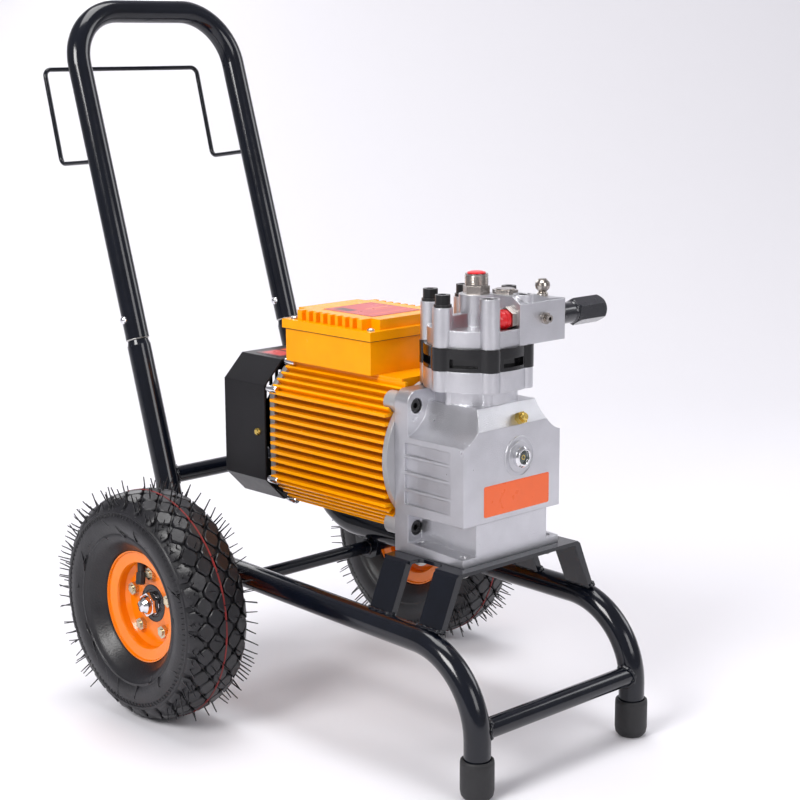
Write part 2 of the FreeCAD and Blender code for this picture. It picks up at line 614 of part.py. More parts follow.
part("rotor_core", cut(cyl(37.4, 84, (0, -209, MZ), Y), cyl(shaft_r, 200, (0, -260, MZ), Y)))
# The shaft ends in an eccentric crank pin inside the pump.
ecc = D.stroke / 2
part("motor_shaft", fuse(cyl(shaft_r, 278, (0, -276, MZ), Y), cyl(14, 14, (0, -290, MZ), Y),
                         cyl(10, 22, (0, -327, MZ + ecc), Y), cyl(12.2, 15.5, (0, -305.5, MZ + ecc / 2), Y)))
part("eccentric_bearing", turned([(10, -326), (18, -326), (18, -308), (10, -308)], (0, 0, MZ + ecc), Y))
part("motor_bearings", group(turned([(shaft_r + 0.04, D.motor_rear), (16, D.motor_rear), (16, D.motor_rear + 6), (shaft_r + 0.04, D.motor_rear + 6)],
                                    (0, 0, MZ), Y),
                             turned([(shaft_r + 0.04, front), (20, front), (20, front + 7), (shaft_r + 0.04, front + 7)],
                                    (0, 0, MZ), Y)))
hub = cyl(14, 16, (0, D.cover_rear - 32, MZ), Y)
disc = cyl(52, 2.4, (0, D.cover_rear - 32, MZ), Y)
blades = []
for i in range(7):
    a = 360 / 7 * i
    o = doc.addObject("Part::Box", uid("box"))
    bind(o, "Length", 48)
    bind(o, "Width", 16)
    bind(o, "Height", 2.2)
    rot = Rotation(Vector(0, 1, 0), a)
    p = rot.multVec(Vector(8, 0, -1.1))
    put(o, (p.x, D.cover_rear - 32, MZ + p.z), rot)
    blades.append(o)
part("cooling_fan", cut(fuse(hub, disc, *blades), cyl(shaft_r, 278, (0, -276, MZ), Y)))

# Fan cover: an open octagonal cup with an air grille in its rear face.
cy0 = D.motor_rear + 8.2
ch = D.cover_half
cup = cut(plate(octagon(ch, cf), "XZ_Plane", cy0, D.cover_rear, pos=(0, 0, MZ)),
          plate(octagon(ch - 2, cf - 1), "XZ_Plane", cy0 - 5, D.cover_rear - 2, pos=(0, 0, MZ)))
slots = []
for i in range(-5, 6):
    x = 9 * i
    hgt = math.sqrt(54 ** 2 - x ** 2)
    slots.append(box(x - 2.6, -20, MZ - hgt, x + 2.6, 30, MZ - 2))
    slots.append(box(x - 2.6, -20, MZ + 2, x + 2.6, 30, MZ + hgt))
screw_at = [(-1, 0), (1, 0), (0, -1)]
part("fan_cover", cut(cup, *(slots + [cyl(2, 12, (dx * (ch - 8), D.cover_rear - 59, MZ + dz * (ch - 8)), (dx, 0, dz))
                                      for dx, dz in screw_at])))
screws = []
for dx, dz in screw_at:
    screws.append(fuse(turned([(0, 0), (4.6, 0), (4.0, 2.0), (2.4, 2.6), (0, 2.6)], (dx * ch, D.cover_rear - 59, MZ + dz * ch), (dx, 0, dz)),
                       cyl(2, 10, (dx * (ch - 8), D.cover_rear - 59, MZ + dz * (ch - 8)), (dx, 0, dz))))
part("fan_cover_screws", group(*screws))

# Terminal box with its ribbed lid.
bw, by0, by1 = D.box_w, D.box_y0, D.box_y1
tb = cut(box(-bw, by0, D.box_z0, bw, by1, D.box_z1), box(3 - bw, by0 + 3, D.box_z0 + 3, bw - 3, by1 - 3, D.box_z1 + 5),
         cyl(9, 60, (0, -150, MZ + 50), Z), cyl(9.5, 30, (bw - 10, -150, D.box_z0 + 19), X))
posts = []
corners = [(sx * (D.box_w - 7), y) for sx in (-1, 1) for y in (by0 + 7, by1 - 7)]
for x, y in corners:
    posts.append(cut(cyl(5.5, D.box_z1 - D.box_z0 - 1, (x, y, D.box_z0 + 1)), cyl(2, 20, (x, y, D.box_z1 - 12))))
part("terminal_box", fuse(tb, *posts))
flange = plate([(-bw - 3, by0 - 3), (bw + 3, by0 - 3), (bw + 3, by1 + 3), (-bw - 3, by1 + 3)], "XY_Plane", D.box_z1, D.lid_z)
pw_, q0, q1 = bw - 3, by0 + 3, by1 - 3
plateau = plate([(-pw_, q0 + 14), (-pw_ + 14, q0 + 14), (-pw_ + 14, q0), (pw_ - 14, q0), (pw_ - 14, q0 + 14), (pw_, q0 + 14),
                 (pw_, q1 - 14), (pw_ - 14, q1 - 14), (pw_ - 14, q1), (-pw_ + 14, q1), (-pw_ + 14, q1 - 14), (-pw_, q1 - 14)],
                "XY_Plane", D.lid_z, D.lid_top)
notch = []
for i in range(8):
    y = by0 + 28 + i * 12
    for s in (-1, 1):
        notch.append(box(-pw_ - 1 if s < 0 else pw_ - 6, y - 3.6, D.lid_z, -pw_ + 6 if s < 0 else pw_ + 1, y + 3.6, D.lid_top + 1))
hollow = box(3 - bw, by0 + 18, D.box_z1 - 1, bw - 3, by1 - 18, D.lid_z - 2.5)
inside = box(16 - bw, by0 + 21, D.box_z1, bw - 16, by1 - 21, D.lid_top - 3)
lid = cut(fuse(flange, plateau), hollow, inside, *(notch + [cyl(2, 40, (x, y, D.box_z1 - 1)) for x, y in corners]))
part("terminal_lid", lid)
part("lid_screws", group(*[fuse(turned([(0, 0), (4.4, 0), (4.2, 1.6), (2.6, 2.8), (0, 2.8)], (x, y, D.lid_z)),
                                cyl(2, 21, (x, y, D.lid_z - 20.5))) for x, y in corners]))
gz = D.box_z0 + 19
part("cable_gland", cut(fuse(cyl(9.5, 12, (bw - 8, -150, gz), X), plate(hexagon(24), "XY_Plane", 0, 6, pos=(bw, -150, gz), rot=along(X)),
                             turned([(0, 6), (11, 6), (11, 12), (9, 19), (0, 19)], (bw, -150, gz), X)),
                        cyl(4.4, 60, (bw - 20, -150, gz), X)))

# ---------------------------------------------------------------- pump
HY = D.head_y
PW, PF = D.pump_w, D.pump_front
six = [(math.cos(math.radians(60 * i)), math.sin(math.radians(60 * i))) for i in range(6)]
br = D.bolt_r.v


def lobed(z0, z1, core, lobe):
    """A round plate with a rounded ear at each of the six head bolts."""
    ears = [cyl(lobe, z1 - z0, (br * cx, HY.v + br * cy, z0)) for cx, cy in six]
    return fuse(cyl(core, z1 - z0, (0, HY, z0)), *ears)


# Cast crankcase: a block with scooped shoulders and tapered pockets in its flanks, on a
# narrower waist and a foot ledge, with a flat bolted flange towards the motor.
block = plate([(-PW, 257.6), (PW, 257.6), (PW, D.pump_top), (-PW, D.pump_top)], "XZ_Plane", PF, -288)
scoops = [cyl(40, 100, (s * 84, -380, 380), Y) for s in (-1, 1)]
bevel = plate([(-380, 355), (-371, 355), (-361, 377), (-361, 379), (-380, 379)], "YZ_Plane", -60, 60)
pockets = []
for s in (-1, 1):
    for za, zb in ((321.8, 334.5), (303.9, 318.6), (285.6, 300.6), (268.4, 282.4)):
        pockets.append(plate([(s * (PW + 1), -284), (s * (PW - 3.6), -284), (s * (PW - 3.4), -300), (s * PW, -352), (s * (PW + 1), -352)],
                             "XY_Plane", za, zb))
upper = cut(block, bevel, *scoops)
waist = box(-54, PF + 0.6, D.plate_top, 54, -284, 262)
foot = plate([(PF + 0.6, D.plate_top), (PF + 0.6, 223.4), (-288, 227.6), (-288, D.plate_top)], "YZ_Plane", -PW, PW)
fr = 14
flange = fuse(box(-PW, -289, D.plate_top, PW, -269.1, MZ + 78 - fr), box(-PW + fr, -289, 300, PW - fr, -269.1, MZ + 78),
              cyl(fr, 19.9, (-PW + fr, -289, MZ + 78 - fr), Y), cyl(fr, 19.9, (PW - fr, -289, MZ + 78 - fr), Y))
neck = cyl(43.5, D.flange_z0 - D.pump_top + 2, (0, HY, D.pump_top - 1))
neck_ribs = [cyl(9, D.flange_z0 - D.pump_top + 2, (36 * cx, HY.v + 36 * cy, D.pump_top.v - 1)) for cx, cy in six]
top_flange = lobed(D.flange_z0.v, D.flange_z1.v, 56, 11.2)
gx, gz_ = 9.5, 321
glass_boss = cyl(17, 4, (gx, PF.v - 1.6, gz_), Y)
case = fuse(upper, waist, foot, flange, neck, top_flange, glass_boss, *neck_ribs)
crank_room = cyl(30, 77, (0, -345, MZ), Y)
liner = cyl(21, 90, (0, HY, MZ + 18))
glass_hole = cyl(8, 32, (gx, -374, gz_), Y)
nrm = (0, -22 / math.hypot(22, 10), 10 / math.hypot(22, 10))
vp = Vector(12, -368.5, 360.5)
vent_hole = cyl(3.1, 40, tuple(vp + Vector(*nrm) * 2), tuple(Vector(*nrm) * -1))
tap = [cyl(5, 30, (br * cx, HY.v + br * cy, D.flange_z1.v - 18)) for cx, cy in six]
fl_holes = [cyl(4, 60, (x, -300, z), Y) for x, z in lugs_at]
fl_bores = [cyl(8.3, 11, (x, -290, z), Y) for x, z in lugs_at]
ft_holes = [cyl(4, 30, (sx * 64, y, D.plate_top - 5)) for sx in (-1, 1) for y in (-362, -299)]
part("pump_housing", cut(case, crank_room, liner, glass_hole, vent_hole, *(pockets + tap + fl_holes + fl_bores + ft_holes)))
part("flange_bolts", group(*[cut(fuse(cyl(4, 25, (x, -279, z), Y), cyl(6.5, 8, (x, -287, z), Y)),
                                 plate(hexagon(6), "XY_Plane", 0, 4, pos=(x, -287, z), rot=along(Y)))
                             for x, z in lugs_at]))
part("sight_glass", cut(fuse(cyl(8, 14, (gx, -372.6, gz_), Y),
                             turned([(0, 0), (9.6, 0), (11.4, 1.8), (11.4, 6), (0, 6)], (gx, -378.6, gz_), Y)),
                        cyl(7.6, 2.4, (gx, -378.7, gz_), Y)))
part("breather_plug", fuse(cyl(3, 12, tuple(vp + Vector(*nrm) * -11), nrm), plate(hexagon(12), "XY_Plane", 0, 6, pos=tuple(vp), rot=along(nrm)),
                           turned([(0, 6), (4.6, 6), (4.6, 9), (3.2, 10.5), (0, 10.5)], tuple(vp), nrm)))
part("piston", fuse(cyl(20.95, 73, (0, HY, MZ + D.stroke / 2 + 18.5)), cyl(12, 3, (0, HY, MZ + D.stroke / 2 + 90))))
z1 = D.flange_z1.v
zr = z1 + D.ring_t.v
part("diaphragm", cyl(44.5, 2.5, (0, HY, z1)))
ring_slots = []
for i in range(6):
    o = doc.addObject("Part::Box", uid("box"))
    bind(o, "Length", 16)
    bind(o, "Width", 30)
    bind(o, "Height", 9)
    rot = Rotation(Vector(0, 0, 1), 30 + 60 * i)
    p = rot.multVec(Vector(47.5, -15, 0))
    put(o, (p.x, HY.v + p.y, z1 + 4), rot)
    ring_slots.append(o)
bolt_holes = [cyl(5, 200, (br * cx, HY.v + br * cy, z1 - 30)) for cx, cy in six]
part("diaphragm_ring", cut(lobed(z1, zr, 56, 11.8), cyl(44.5, 2.5, (0, HY, z1)), cyl(30, 60, (0, HY, z1)), *(ring_slots + bolt_holes)))

# Head casting: a lobed base, a column at each bolt, the inlet boss and the manifold block.
HZ = D.head_z
low = [0, 1, 2, 3]
cols = [cyl(10.6, HZ - zr, (br * six[i][0], HY.v + br * six[i][1], zr)) for i in low]
cols += [cyl(10.6, 490 - zr, (br * six[i][0], HY.v + br * six[i][1], zr)) for i in (4, 5)]
base = lobed(zr, zr + 18, 52, 10.6)
boss = cyl(18.5, 489 - zr, (0, HY, zr))
MX0, MX1 = 9.2, 79.3
manifold = cut(plate([(MX0, zr), (MX1, zr), (MX1, 481.8), (56, 483.4), (44, 488), (MX0, 488.6)], "XZ_Plane", -371, -325),
               plate([(-372, 481.2), (-371, 481.2), (-357.5, 490.5), (-372, 495)], "YZ_Plane", 0, 90))
bridge = box(-25, -369, zr, 25, -352, 455.6)
plug_boss = cyl(15.5, 484 - zr, (27, -333, zr))
web = box(-44, -322, zr, 44, -312, 470)
head_raw = fuse(base, boss, manifold, bridge, plug_boss, web, *cols)
seats = [cyl(8.3, 40, (br * six[i][0], HY.v + br * six[i][1], 479.5)) for i in (4, 5)]
seats += [cyl(10.8, 60, (br * six[i][0], HY.v + br * six[i][1], HZ.v)) for i in low]
OY, OZ = -356, 465.6
NZ = 463.4
KY, KZ = D.knob_y, D.knob_z
bores = [cyl(8, 80, (0, HY, zr - 1)), cyl(8, 40, (27, -333, 462)), cyl(6, 12, (MX0 - 2, OY, OZ), X), cyl(3, 28, (MX0, OY, OZ), X),
         cyl(4, 20, (47, -371, NZ), Y), cyl(4, 14, (70, -347, 470)), cyl(8, 30, (56, KY, KZ), X), cyl(10.4, 26, (MX0 - 26, OY, OZ), X),
         cyl(13, 7.6, (MX0 - 7.6, OY, OZ), X), cyl(14.2, 20, (27, -333, 484)), cyl(6.3, 20, (70, -347, 482))]
part("pump_head", cut(head_raw, *(bores + seats + bolt_holes)))
hb = []
for i, (cx, cy) in enumerate(six):
    x, y = br * cx, HY.v + br * cy
    zt = HZ.v + 3 if i in low else 479.5
    shank = cyl(5, zt - (z1 - 14), (x, y, z1 - 14))
    head = cut(cyl(8, 10, (x, y, zt)), plate(hexagon(8), "XY_Plane", 0, 6, pos=(x, y, zt + 5)))
    if i in low:
        hb.append(fuse(shank, head, cyl(9.4, 3, (x, y, HZ.v))))
    else:
        hb.append(fuse(shank, head))
part("head_bolts", group(*hb))
part("inlet_fitting", cut(fuse(cyl(8, 14, (0, HY, 475)), plate(hexagon(25), "XY_Plane", 0, 8.5, pos=(0, HY, 489)),
                               cyl(12.2, 12.5, (0, HY, 497.5))), cyl(7.5, 60, (0, HY, 470))))
part("inlet_plug", turned([(0, 500), (7.45, 500), (7.45, 510.3), (9.8, 510.3), (9.6, 511.6), (6, 512.6), (0, 512.6)], (0, HY, 0)))
part("valve_plug", fuse(cyl(8, 20, (27, -333, 464)), plate(hexagon(24), "XY_Plane", 0, 8, pos=(27, -333, 484)), cyl(10, 1.2, (27, -333, 492))))
part("outlet_nipple", cut(fuse(plate(hexagon(22), "XY_Plane", 0, 7, pos=(MX0, OY, OZ), rot=along((-1, 0, 0))), cyl(6, 23, (-4, OY, OZ), X)),
                          cyl(3, 60, (-10, OY, OZ), X)))
part("outlet_cap", turned([(6.05, 0), (9.8, 0), (9.8, 4.6), (9.0, 5.0), (9.0, 12.2), (8.0, 14.8), (5, 15.9), (0, 15.9), (0, 11.8), (6.05, 11.8)],
                          (1.9, OY, OZ), (-1, 0, 0)))
part("return_nipple", cut(fuse(cyl(4, 22, (47, -379, NZ), Y), cyl(6.2, 3.5, (47, -374.5, NZ), Y)), cyl(2, 60, (47, -386, NZ), Y)))
part("bleed_fitting", turned([(0, 472), (4, 472), (4, 482), (6, 482), (6, 485), (4.4, 487), (7.2, 490), (8.2, 493.5), (7.4, 497), (5, 499.4),
                              (5, 500.2), (3.6, 500.8), (0, 500.8)], (70, -347, 0)))
# The knob turns on the regulator's spindle: a round collar and a chamfered hexagonal grip.
grip = common(plate(hexagon(26), "XY_Plane", 112, 157, pos=(0, KY, KZ), rot=along(X)),
              turned([(0, 112), (12.8, 112), (15.2, 115), (15.2, 153), (12.2, 157), (0, 157)], (0, KY, KZ), X))
part("pressure_knob", fuse(cyl(7.95, 24, (57, KY, KZ), X),
                           turned([(0, 79.7), (11.5, 79.7), (11.5, 108), (12.3, 110), (12.3, 114), (0, 114)], (0, KY, KZ), X), grip))

# ---------------------------------------------------------------- check and write
doc.recompute()
bad = []
for o in doc.Objects:
    if "Invalid" in o.State or "Error" in o.State:
        bad.append("%s %s" % (o.Label, o.State))
for name, o in PARTS.items():
    if o.Shape.isNull() or not o.Shape.isValid() or o.Shape.Volume <= 0 or len(name) > 59:
        bad.append(name + " has no valid shape")
if bad:
    raise SystemExit("stopped: " + "; ".join(bad))
os.makedirs("parts", exist_ok=True)
whole = FreeCAD.BoundBox()
for name, o in PARTS.items():
    o.Shape.exportStep("parts/%s.step" % name)
    whole.add(o.Shape.BoundBox)
    print("%-22s %2d solids %10.1f mm3" % (name, len(o.Shape.Solids), o.Shape.Volume))
print(len(PARTS), "parts", whole)
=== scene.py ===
import math
import random

import bmesh
import bpy
from mathutils import Matrix, Vector, noise


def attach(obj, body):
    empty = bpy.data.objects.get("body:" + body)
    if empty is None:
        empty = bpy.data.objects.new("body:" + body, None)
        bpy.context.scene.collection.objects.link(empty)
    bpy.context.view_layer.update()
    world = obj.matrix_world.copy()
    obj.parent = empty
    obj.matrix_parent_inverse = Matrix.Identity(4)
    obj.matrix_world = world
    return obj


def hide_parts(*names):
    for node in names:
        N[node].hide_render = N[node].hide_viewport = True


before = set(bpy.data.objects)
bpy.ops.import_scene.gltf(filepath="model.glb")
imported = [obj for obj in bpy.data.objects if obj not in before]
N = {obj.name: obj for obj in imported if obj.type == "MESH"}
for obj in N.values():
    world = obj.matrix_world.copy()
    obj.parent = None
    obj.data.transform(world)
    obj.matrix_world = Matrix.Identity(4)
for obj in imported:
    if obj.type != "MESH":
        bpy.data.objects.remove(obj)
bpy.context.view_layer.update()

sc = bpy.context.scene
rnd = random.Random(7)


def L(y):
    """Millimetres from the axle datum along Y, as metres in the row frame."""
    return (y + 75.191) / 1000


# ------------------------------------------------------------------ materials
def material(name, color, rough=0.4, metal=0.0, coat=0.0, spec=0.5, vary=0.06, vary_scale=40.0, bump=0.02, bump_scale=300.0,
             bump2=0.0, bump2_scale=30.0, edge=0.0006, wear=None, rough_vary=0.08, sheen=0.0):
    m = bpy.data.materials.new(name)
    m.use_nodes = True
    nt = m.node_tree
    nd, ln = nt.nodes, nt.links
    bsdf = nd["Principled BSDF"]
    bsdf.inputs["Metallic"].default_value = metal
    bsdf.inputs["Coat Weight"].default_value = coat
    bsdf.inputs["Coat Roughness"].default_value = 0.06
    bsdf.inputs["Specular IOR Level"].default_value = spec
    if sheen:
        bsdf.inputs["Sheen Weight"].default_value = sheen
        bsdf.inputs["Sheen Roughness"].default_value = 0.5
    tc = nd.new("ShaderNodeTexCoord")
    n1 = nd.new("ShaderNodeTexNoise")
    n1.inputs["Scale"].default_value = vary_scale
    n1.inputs["Detail"].default_value = 5
    ln.new(tc.outputs["Object"], n1.inputs["Vector"])
    ramp = nd.new("ShaderNodeValToRGB")
    lo = [max(0, c * (1 - vary)) for c in color]
    hi = [min(1, c * (1 + vary)) for c in color]
    ramp.color_ramp.elements[0].position = 0.3
    ramp.color_ramp.elements[1].position = 0.7
    ramp.color_ramp.elements[0].color = (*lo, 1)
    ramp.color_ramp.elements[1].color = (*hi, 1)
    ln.new(n1.outputs["Fac"], ramp.inputs["Fac"])
    col_out = ramp.outputs["Color"]
    if wear:
        geo = nd.new("ShaderNodeNewGeometry")
        wr = nd.new("ShaderNodeValToRGB")
        wr.color_ramp.elements[0].position = 0.54
        wr.color_ramp.elements[1].position = 0.62
        ln.new(geo.outputs["Pointiness"], wr.inputs["Fac"])
        n3 = nd.new("ShaderNodeTexNoise")
        n3.inputs["Scale"].default_value = 120
        ln.new(tc.outputs["Object"], n3.inputs["Vector"])
        mul = nd.new("ShaderNodeMath")
        mul.operation = "MULTIPLY"
        ln.new(wr.outputs["Color"], mul.inputs[0])
        ln.new(n3.outputs["Fac"], mul.inputs[1])
        mx = nd.new("ShaderNodeMix")
        mx.data_type = "RGBA"
        ln.new(mul.outputs[0], mx.inputs["Factor"])
        ln.new(col_out, mx.inputs["A"])
        mx.inputs["B"].default_value = (*wear, 1)
        col_out = mx.outputs["Result"]
    ln.new(col_out, bsdf.inputs["Base Color"])
    rr = nd.new("ShaderNodeMapRange")
    rr.inputs["To Min"].default_value = max(0.02, rough - rough_vary)
    rr.inputs["To Max"].default_value = min(1, rough + rough_vary)
    n4 = nd.new("ShaderNodeTexNoise")
    n4.inputs["Scale"].default_value = vary_scale * 2.3
    n4.inputs["Detail"].default_value = 3
    ln.new(tc.outputs["Object"], n4.inputs["Vector"])
    ln.new(n4.outputs["Fac"], rr.inputs["Value"])
    ln.new(rr.outputs["Result"], bsdf.inputs["Roughness"])
    normal = None
    if edge:
        bv = nd.new("ShaderNodeBevel")
        bv.samples = 4
        bv.inputs["Radius"].default_value = edge
        normal = bv.outputs["Normal"]
    for b, s in ((bump2, bump2_scale), (bump, bump_scale)):
        if b:
            nn = nd.new("ShaderNodeTexNoise")
            nn.inputs["Scale"].default_value = s
            nn.inputs["Detail"].default_value = 4
            ln.new(tc.outputs["Object"], nn.inputs["Vector"])
            bp = nd.new("ShaderNodeBump")
            bp.inputs["Strength"].default_value = b
            bp.inputs["Distance"].default_value = 0.001
            ln.new(nn.outputs["Fac"], bp.inputs["Height"])
            if normal:
                ln.new(normal, bp.inputs["Normal"])
            normal = bp.outputs["Normal"]
    if normal:
        ln.new(normal, bsdf.inputs["Normal"])
    return m


M = {
    "black_paint": material("black_paint", (0.0030, 0.0042, 0.0085), 0.16, coat=0.3, spec=0.32, vary=0.2, bump=0.05, bump_scale=500, bump2=0.05, bump2_scale=60, edge=0.0008),
    "orange_paint": material("orange_paint", (0.95, 0.365, 0.0004), 0.24, coat=0.04, spec=0.16, vary=0.05, bump=0.12, bump_scale=700, edge=0.0008),
    "rim_orange": material("rim_orange", (0.95, 0.215, 0.001), 0.22, coat=0.35, spec=0.3, vary=0.07, bump=0.05, bump_scale=400, edge=0.001, wear=(0.5, 0.12, 0.02)),
    "cast_alu": material("cast_alu", (0.62, 0.62, 0.65), 0.30, metal=0.96, coat=0.0, vary=0.08, vary_scale=25, bump=0.4, bump_scale=900, bump2=0.14, bump2_scale=70, edge=0.0016, rough_vary=0.06),
    "shield_alu": material("shield_alu", (0.5, 0.5, 0.51), 0.42, metal=0.7, vary=0.08, vary_scale=25, bump=0.3, bump_scale=900, edge=0.0012),
    "black_plastic": material("black_plastic", (0.0042, 0.0038, 0.0055), 0.36, spec=0.3, vary=0.15, bump=0.2, bump_scale=1100, edge=0.0012),
    "black_ring": material("black_ring", (0.0035, 0.0035, 0.0045), 0.2, coat=0.3, spec=0.35, vary=0.15, bump=0.05, bump_scale=500, edge=0.001),
    "knob_black": material("knob_black", (0.010, 0.011, 0.016), 0.25, metal=0.3, coat=0.7, vary=0.15, bump=0.06, bump_scale=500, edge=0.0008),
    "rubber": material("rubber", (0.013, 0.013, 0.0145), 0.6, vary=0.2, bump=0.25, bump_scale=500, edge=0.001, sheen=0.05),
    "tyre": material("tyre", (0.0090, 0.0088, 0.0112), 0.38, spec=0.5, vary=0.3, vary_scale=30, bump=0.25, bump_scale=420, bump2=0.1, bump2_scale=60, edge=0.0006, rough_vary=0.12),
    "red_line": material("red_line", (0.20, 0.012, 0.012), 0.6, vary=0.3, bump=0.2, edge=0),
    "steel": material("steel", (0.56, 0.55, 0.53), 0.3, metal=1.0, vary=0.1, vary_scale=60, bump=0.08, bump_scale=600, edge=0.0005),
    "dark_steel": material("dark_steel", (0.16, 0.155, 0.15), 0.35, metal=1.0, vary=0.2, bump=0.1, edge=0.0005),
    "black_oxide": material("black_oxide", (0.010, 0.010, 0.011), 0.33, metal=0.4, coat=0.2, vary=0.25, bump=0.12, bump_scale=800, edge=0.0005, wear=(0.08, 0.08, 0.08)),
    "nickel": material("nickel", (0.42, 0.385, 0.35), 0.2, metal=1.0, vary=0.12, vary_scale=80, bump=0.05, edge=0.0005, rough_vary=0.1),
    "chrome": material("chrome", (0.80, 0.80, 0.82), 0.08, metal=1.0, vary=0.03, bump=0.02, edge=0.0004, rough_vary=0.03),
    "zinc": material("zinc", (0.62, 0.55, 0.40), 0.27, metal=1.0, vary=0.15, vary_scale=90, bump=0.08, edge=0.0004),
    "brass": material("brass", (0.70, 0.50, 0.13), 0.25, metal=1.0, vary=0.12, vary_scale=80, bump=0.06, edge=0.0004),
    "copper": material("copper", (0.72, 0.30, 0.12), 0.35, metal=1.0, vary=0.2, bump=0.2, edge=0),
    "red_plastic": material("red_plastic", (0.80, 0.006, 0.012), 0.3, coat=0.3, vary=0.05, bump=0.08, edge=0.0006),
    "label_orange": material("label_orange", (0.92, 0.13, 0.012), 0.3, coat=0.3, vary=0.03, bump=0.03, edge=0),
    "label_light": material("label_light", (0.95, 0.30, 0.08), 0.3, coat=0.3, vary=0.04, bump=0.03, edge=0),
    "label_red": material("label_red", (0.62, 0.055, 0.05), 0.3, coat=0.15, spec=0.3, vary=0.12, vary_scale=18, bump=0.02, edge=0),
    "label_dark": material("label_dark", (0.10, 0.02, 0.022), 0.3, coat=0.1, spec=0.3, vary=0.4, vary_scale=60, bump=0.02, edge=0),
    "glass": material("glass", (0.03, 0.05, 0.04), 0.04, coat=1.0, vary=0.5, vary_scale=90, bump=0, edge=0, rough_vary=0.02),
}

for n, slots in {
    "black_paint": "side_tube_left side_tube_right handle_tube hose_rack front_cross_tube rear_cross_bar axle_rod axle_brackets motor_bracket",
    "chrome": "snap_button_left snap_button_right axle_nuts sight_glass",
    "steel": "bracket_bolts motor_shaft eccentric_bearing motor_bearings stator_core rotor_core lid_screws piston bracket_washers",
    "zinc": "rim_bolts_left rim_bolts_right",
    "rubber": "rubber_feet inner_tube_left inner_tube_right diaphragm",
    "dark_steel": "wheel_bearings_left wheel_bearings_right",
    "tyre": "tyre_left tyre_right",
    "rim_orange": "rim_outer_left rim_outer_right rim_inner_left rim_inner_right",
    "orange_paint": "motor_housing terminal_box terminal_lid",
    "cast_alu": "pump_housing pump_head",
    "shield_alu": "rear_end_shield front_end_shield",
    "copper": "stator_windings",
    "black_plastic": "cooling_fan fan_cover cable_gland",
    "brass": "fan_cover_screws breather_plug",
    "black_oxide": "flange_bolts head_bolts",
    "black_ring": "diaphragm_ring",
    "knob_black": "pressure_knob",
    "nickel": "inlet_fitting valve_plug outlet_nipple return_nipple bleed_fitting",
    "red_plastic": "inlet_plug outlet_cap",
}.items():
    for node in slots.split():
        o = N[node]
        o.data.materials.clear()
        o.data.materials.append(M[n])
        o.data.shade_smooth()
        o.data.set_sharp_from_angle(angle=math.radians(28))


# ------------------------------------------------------------------ mesh helpers
def piece(name, bm, mat, body, replaces=(), smooth=30, bevel=0.0, segs=2):
    me = bpy.data.meshes.new(name)
    bm.normal_update()
    bm.to_mesh(me)
    bm.free()
    o = bpy.data.objects.new(name, me)
    sc.collection.objects.link(o)
    for m in (mat if isinstance(mat, (list, tuple)) else [mat]):
        me.materials.append(m)
    me.shade_smooth()
    me.set_sharp_from_angle(angle=math.radians(smooth))
    if bevel:
        b = o.modifiers.new("edges", "BEVEL")
        b.width, b.segments, b.limit_method, b.angle_limit = bevel, segs, "ANGLE", math.radians(35)
        b.harden_normals = False
    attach(o, body)
    if replaces:
        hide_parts(*replaces)
    return o


def frame_of(axis, origin):
    z = Vector(axis).normalized()
    x = z.orthogonal().normalized()
    y = z.cross(x)
    return Matrix.Translation(origin) @ Matrix((x, y, z)).transposed().to_4x4()


def lathe(bm, profile, mtx, segs=64, mat=0, closed=False):
    """Turns a list of (radius, height) about the matrix's Z axis."""
    rings = []
    for r, z in profile:
        if r < 1e-7:
            rings.append([bm.verts.new(mtx @ Vector((0, 0, z)))])
        else:
            rings.append([bm.verts.new(mtx @ Vector((r * math.cos(2 * math.pi * i / segs), r * math.sin(2 * math.pi * i / segs), z)))
                          for i in range(segs)])
    pairs = list(zip(rings, rings[1:]))
    if closed:
        pairs.append((rings[-1], rings[0]))
    for a, b in pairs:
        for i in range(segs):
            j = (i + 1) % segs
            if len(a) == 1 and len(b) == 1:
                continue
            if len(a) == 1:
                f = bm.faces.new((a[0], b[j], b[i]))
            elif len(b) == 1:
                f = bm.faces.new((a[i], a[j], b[0]))
            else:
                f = bm.faces.new((a[i], a[j], b[j], b[i]))
            f.material_index = mat
    return rings


def fin_paint_painted_shade():
    """The motor's paint with painted shade: darker towards the fin roots, where shade falls between the fins."""
    m = M["orange_paint"].copy()
    m.name = "fin_paint_painted_shade"
    nt = m.node_tree
    nd, ln = nt.nodes, nt.links
    bsdf = nd["Principled BSDF"]
    src = bsdf.inputs["Base Color"].links[0].from_socket
    tc = next(n for n in nd if n.type == "TEX_COORD")
    sep = nd.new("ShaderNodeSeparateXYZ")
    ln.new(tc.outputs["Object"], sep.inputs[0])

    def op(kind, a, b=None):
        n = nd.new("ShaderNodeMath")
        n.operation = kind
        for i, v in enumerate((a, b)):
            if v is None:
                continue
            if isinstance(v, (int, float)):
                n.inputs[i].default_value = v
            else:
                ln.new(v, n.inputs[i])
        return n.outputs[0]

    ax = op("ABSOLUTE", sep.outputs["X"])
    az = op("ABSOLUTE", op("SUBTRACT", sep.outputs["Z"], 0.312))
    diag = op("MULTIPLY", op("ADD", ax, az), 0.5986)
    far = op("MAXIMUM", op("MAXIMUM", ax, az), diag)
    # Painted shade: the base colour is mixed towards a dark brown near the fin roots, between the fins.
    root_shade_ramp = nd.new("ShaderNodeMapRange")
    root_shade_ramp.inputs["From Min"].default_value = 0.0665
    root_shade_ramp.inputs["From Max"].default_value = 0.0775
    root_shade_ramp.inputs["To Min"].default_value = 0.28
    root_shade_ramp.inputs["To Max"].default_value = 1.0
    ln.new(far, root_shade_ramp.inputs["Value"])
    mx = nd.new("ShaderNodeMix")
    mx.data_type = "RGBA"
    mx.inputs["A"].default_value = (0.05, 0.012, 0.001, 1)
    ln.new(src, mx.inputs["B"])
    ln.new(root_shade_ramp.outputs["Result"], mx.inputs["Factor"])
    ln.new(mx.outputs["Result"], bsdf.inputs["Base Color"])
    return m


M["fin_paint_painted_shade"] = fin_paint_painted_shade()
N["motor_housing"].data.materials[0] = M["fin_paint_painted_shade"]


